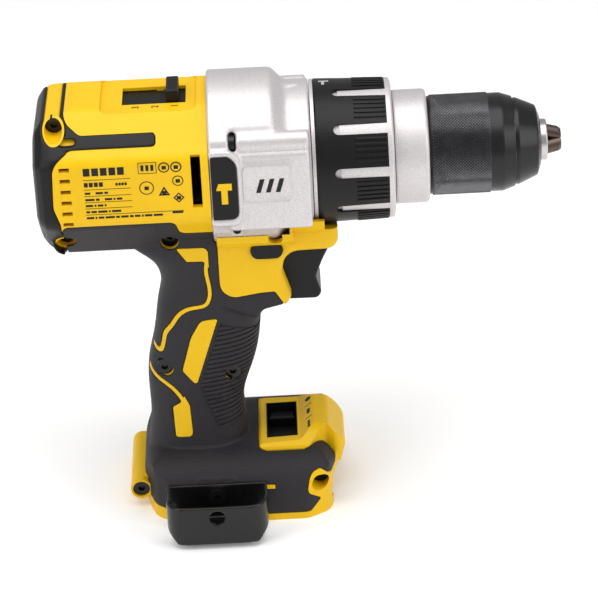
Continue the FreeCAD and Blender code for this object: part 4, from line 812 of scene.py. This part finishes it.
def ridge_sign(name, points, y):
    piece = top_mark(name, points, 0.0)
    piece.rotation_euler.y = RIDGE_TILT
    piece.location = (RIDGE_X * MM, y * MM, RIDGE_Z * MM)
    return settle(piece)


def dots_sign(name, y, count, radius):
    signs = []
    for k in range(count):
        turns = [math.tau * i / 16 for i in range(16)]
        middle = DOT_STEP * (k - (count - 1) / 2)
        corners = [(radius * math.sin(turn), radius * math.cos(turn) + middle) for turn in turns]
        signs.append(ridge_sign(name, corners, y))
    return signs


rule = [(-1.8, -0.14), (1.8, -0.14), (1.8, 0.14), (-1.8, 0.14)]
signs = []
for y, count, radius in ((10.5, 1, 1.5), (0.2, 2, 1.0), (-10.6, 3, 0.8)):
    signs += dots_sign("lamp_sign", y, count, radius)
signs += [ridge_sign("lamp_rule", rule, y) for y in (5.4, -5.2)]
finished(join_all(signs, "lamp_signs"), "housing", "black_shell", ink)

# %% [markdown]
# A tool is photographed on a white sweep under big soft lights. The camera looks down at the tool's right
# side through a long lens, turned a little about its own axis.

# %% Camera
CAMERA_TARGET = Vector((28.4, 0.0, 86.6)) * MM
CAMERA_DISTANCE = 1281.5 * MM
CAMERA_LIFT = math.radians(28.0)
CAMERA_ROLL = math.radians(2.9)


def make_camera():
    away = Vector((0, -math.cos(CAMERA_LIFT), math.sin(CAMERA_LIFT)))
    data = bpy.data.cameras.new("camera")
    data.sensor_width = 36
    data.lens = 180
    camera = bpy.data.objects.new("camera", data)
    bpy.context.scene.collection.objects.link(camera)
    turn = away.to_track_quat("Z", "Y").to_matrix().to_4x4() @ Matrix.Rotation(-CAMERA_ROLL, 4, "Z")
    camera.matrix_world = Matrix.Translation(CAMERA_TARGET + away * CAMERA_DISTANCE) @ turn
    bpy.context.scene.camera = camera


make_camera()

# %% [markdown]
# One broad light overhead and two at the sides leave only a soft shadow. The floor glows slightly, so that it
# reads as white paper out to the picture's edge.

# %% Lights and floor
def soft_light(name, place, aim, size, power, colour=(1, 1, 1)):
    data = bpy.data.lights.new(name, "AREA")
    data.shape = "RECTANGLE"
    data.size = size[0]
    data.size_y = size[1]
    data.energy = power
    data.color = colour
    light = bpy.data.objects.new(name, data)
    bpy.context.scene.collection.objects.link(light)
    light.location = place
    light.rotation_euler = (Vector(aim) - Vector(place)).to_track_quat("-Z", "Y").to_euler()


def make_stage():
    world = bpy.data.worlds.new("studio")
    bpy.context.scene.world = world
    world.use_nodes = True
    world.node_tree.nodes["Background"].inputs["Color"].default_value = (1, 1, 1, 1)
    world.node_tree.nodes["Background"].inputs["Strength"].default_value = 0.42
    soft_light("overhead", (0.0, -0.1, 1.2), (0.03, 0, 0.1), (1.3, 1.0), 11)
    soft_light("left", (-0.9, -0.7, 0.7), (0, 0, 0.1), (0.7, 0.9), 4.5)
    soft_light("right", (1.0, -0.6, 0.6), (0.05, 0, 0.1), (0.6, 0.9), 4.5)
    bpy.ops.mesh.primitive_plane_add(size=4.0, location=(0, 0, 0))
    floor = bpy.context.object
    floor.name = "floor"
    r = Recipe("white sweep")
    white = r.set(colour=(0.95, 0.95, 0.95), rough=0.9, glow=(1, 1, 1), glow_strength=0.1)
    floor.data.materials.append(white)


make_stage()
bpy.context.scene.view_settings.view_transform = "Standard"
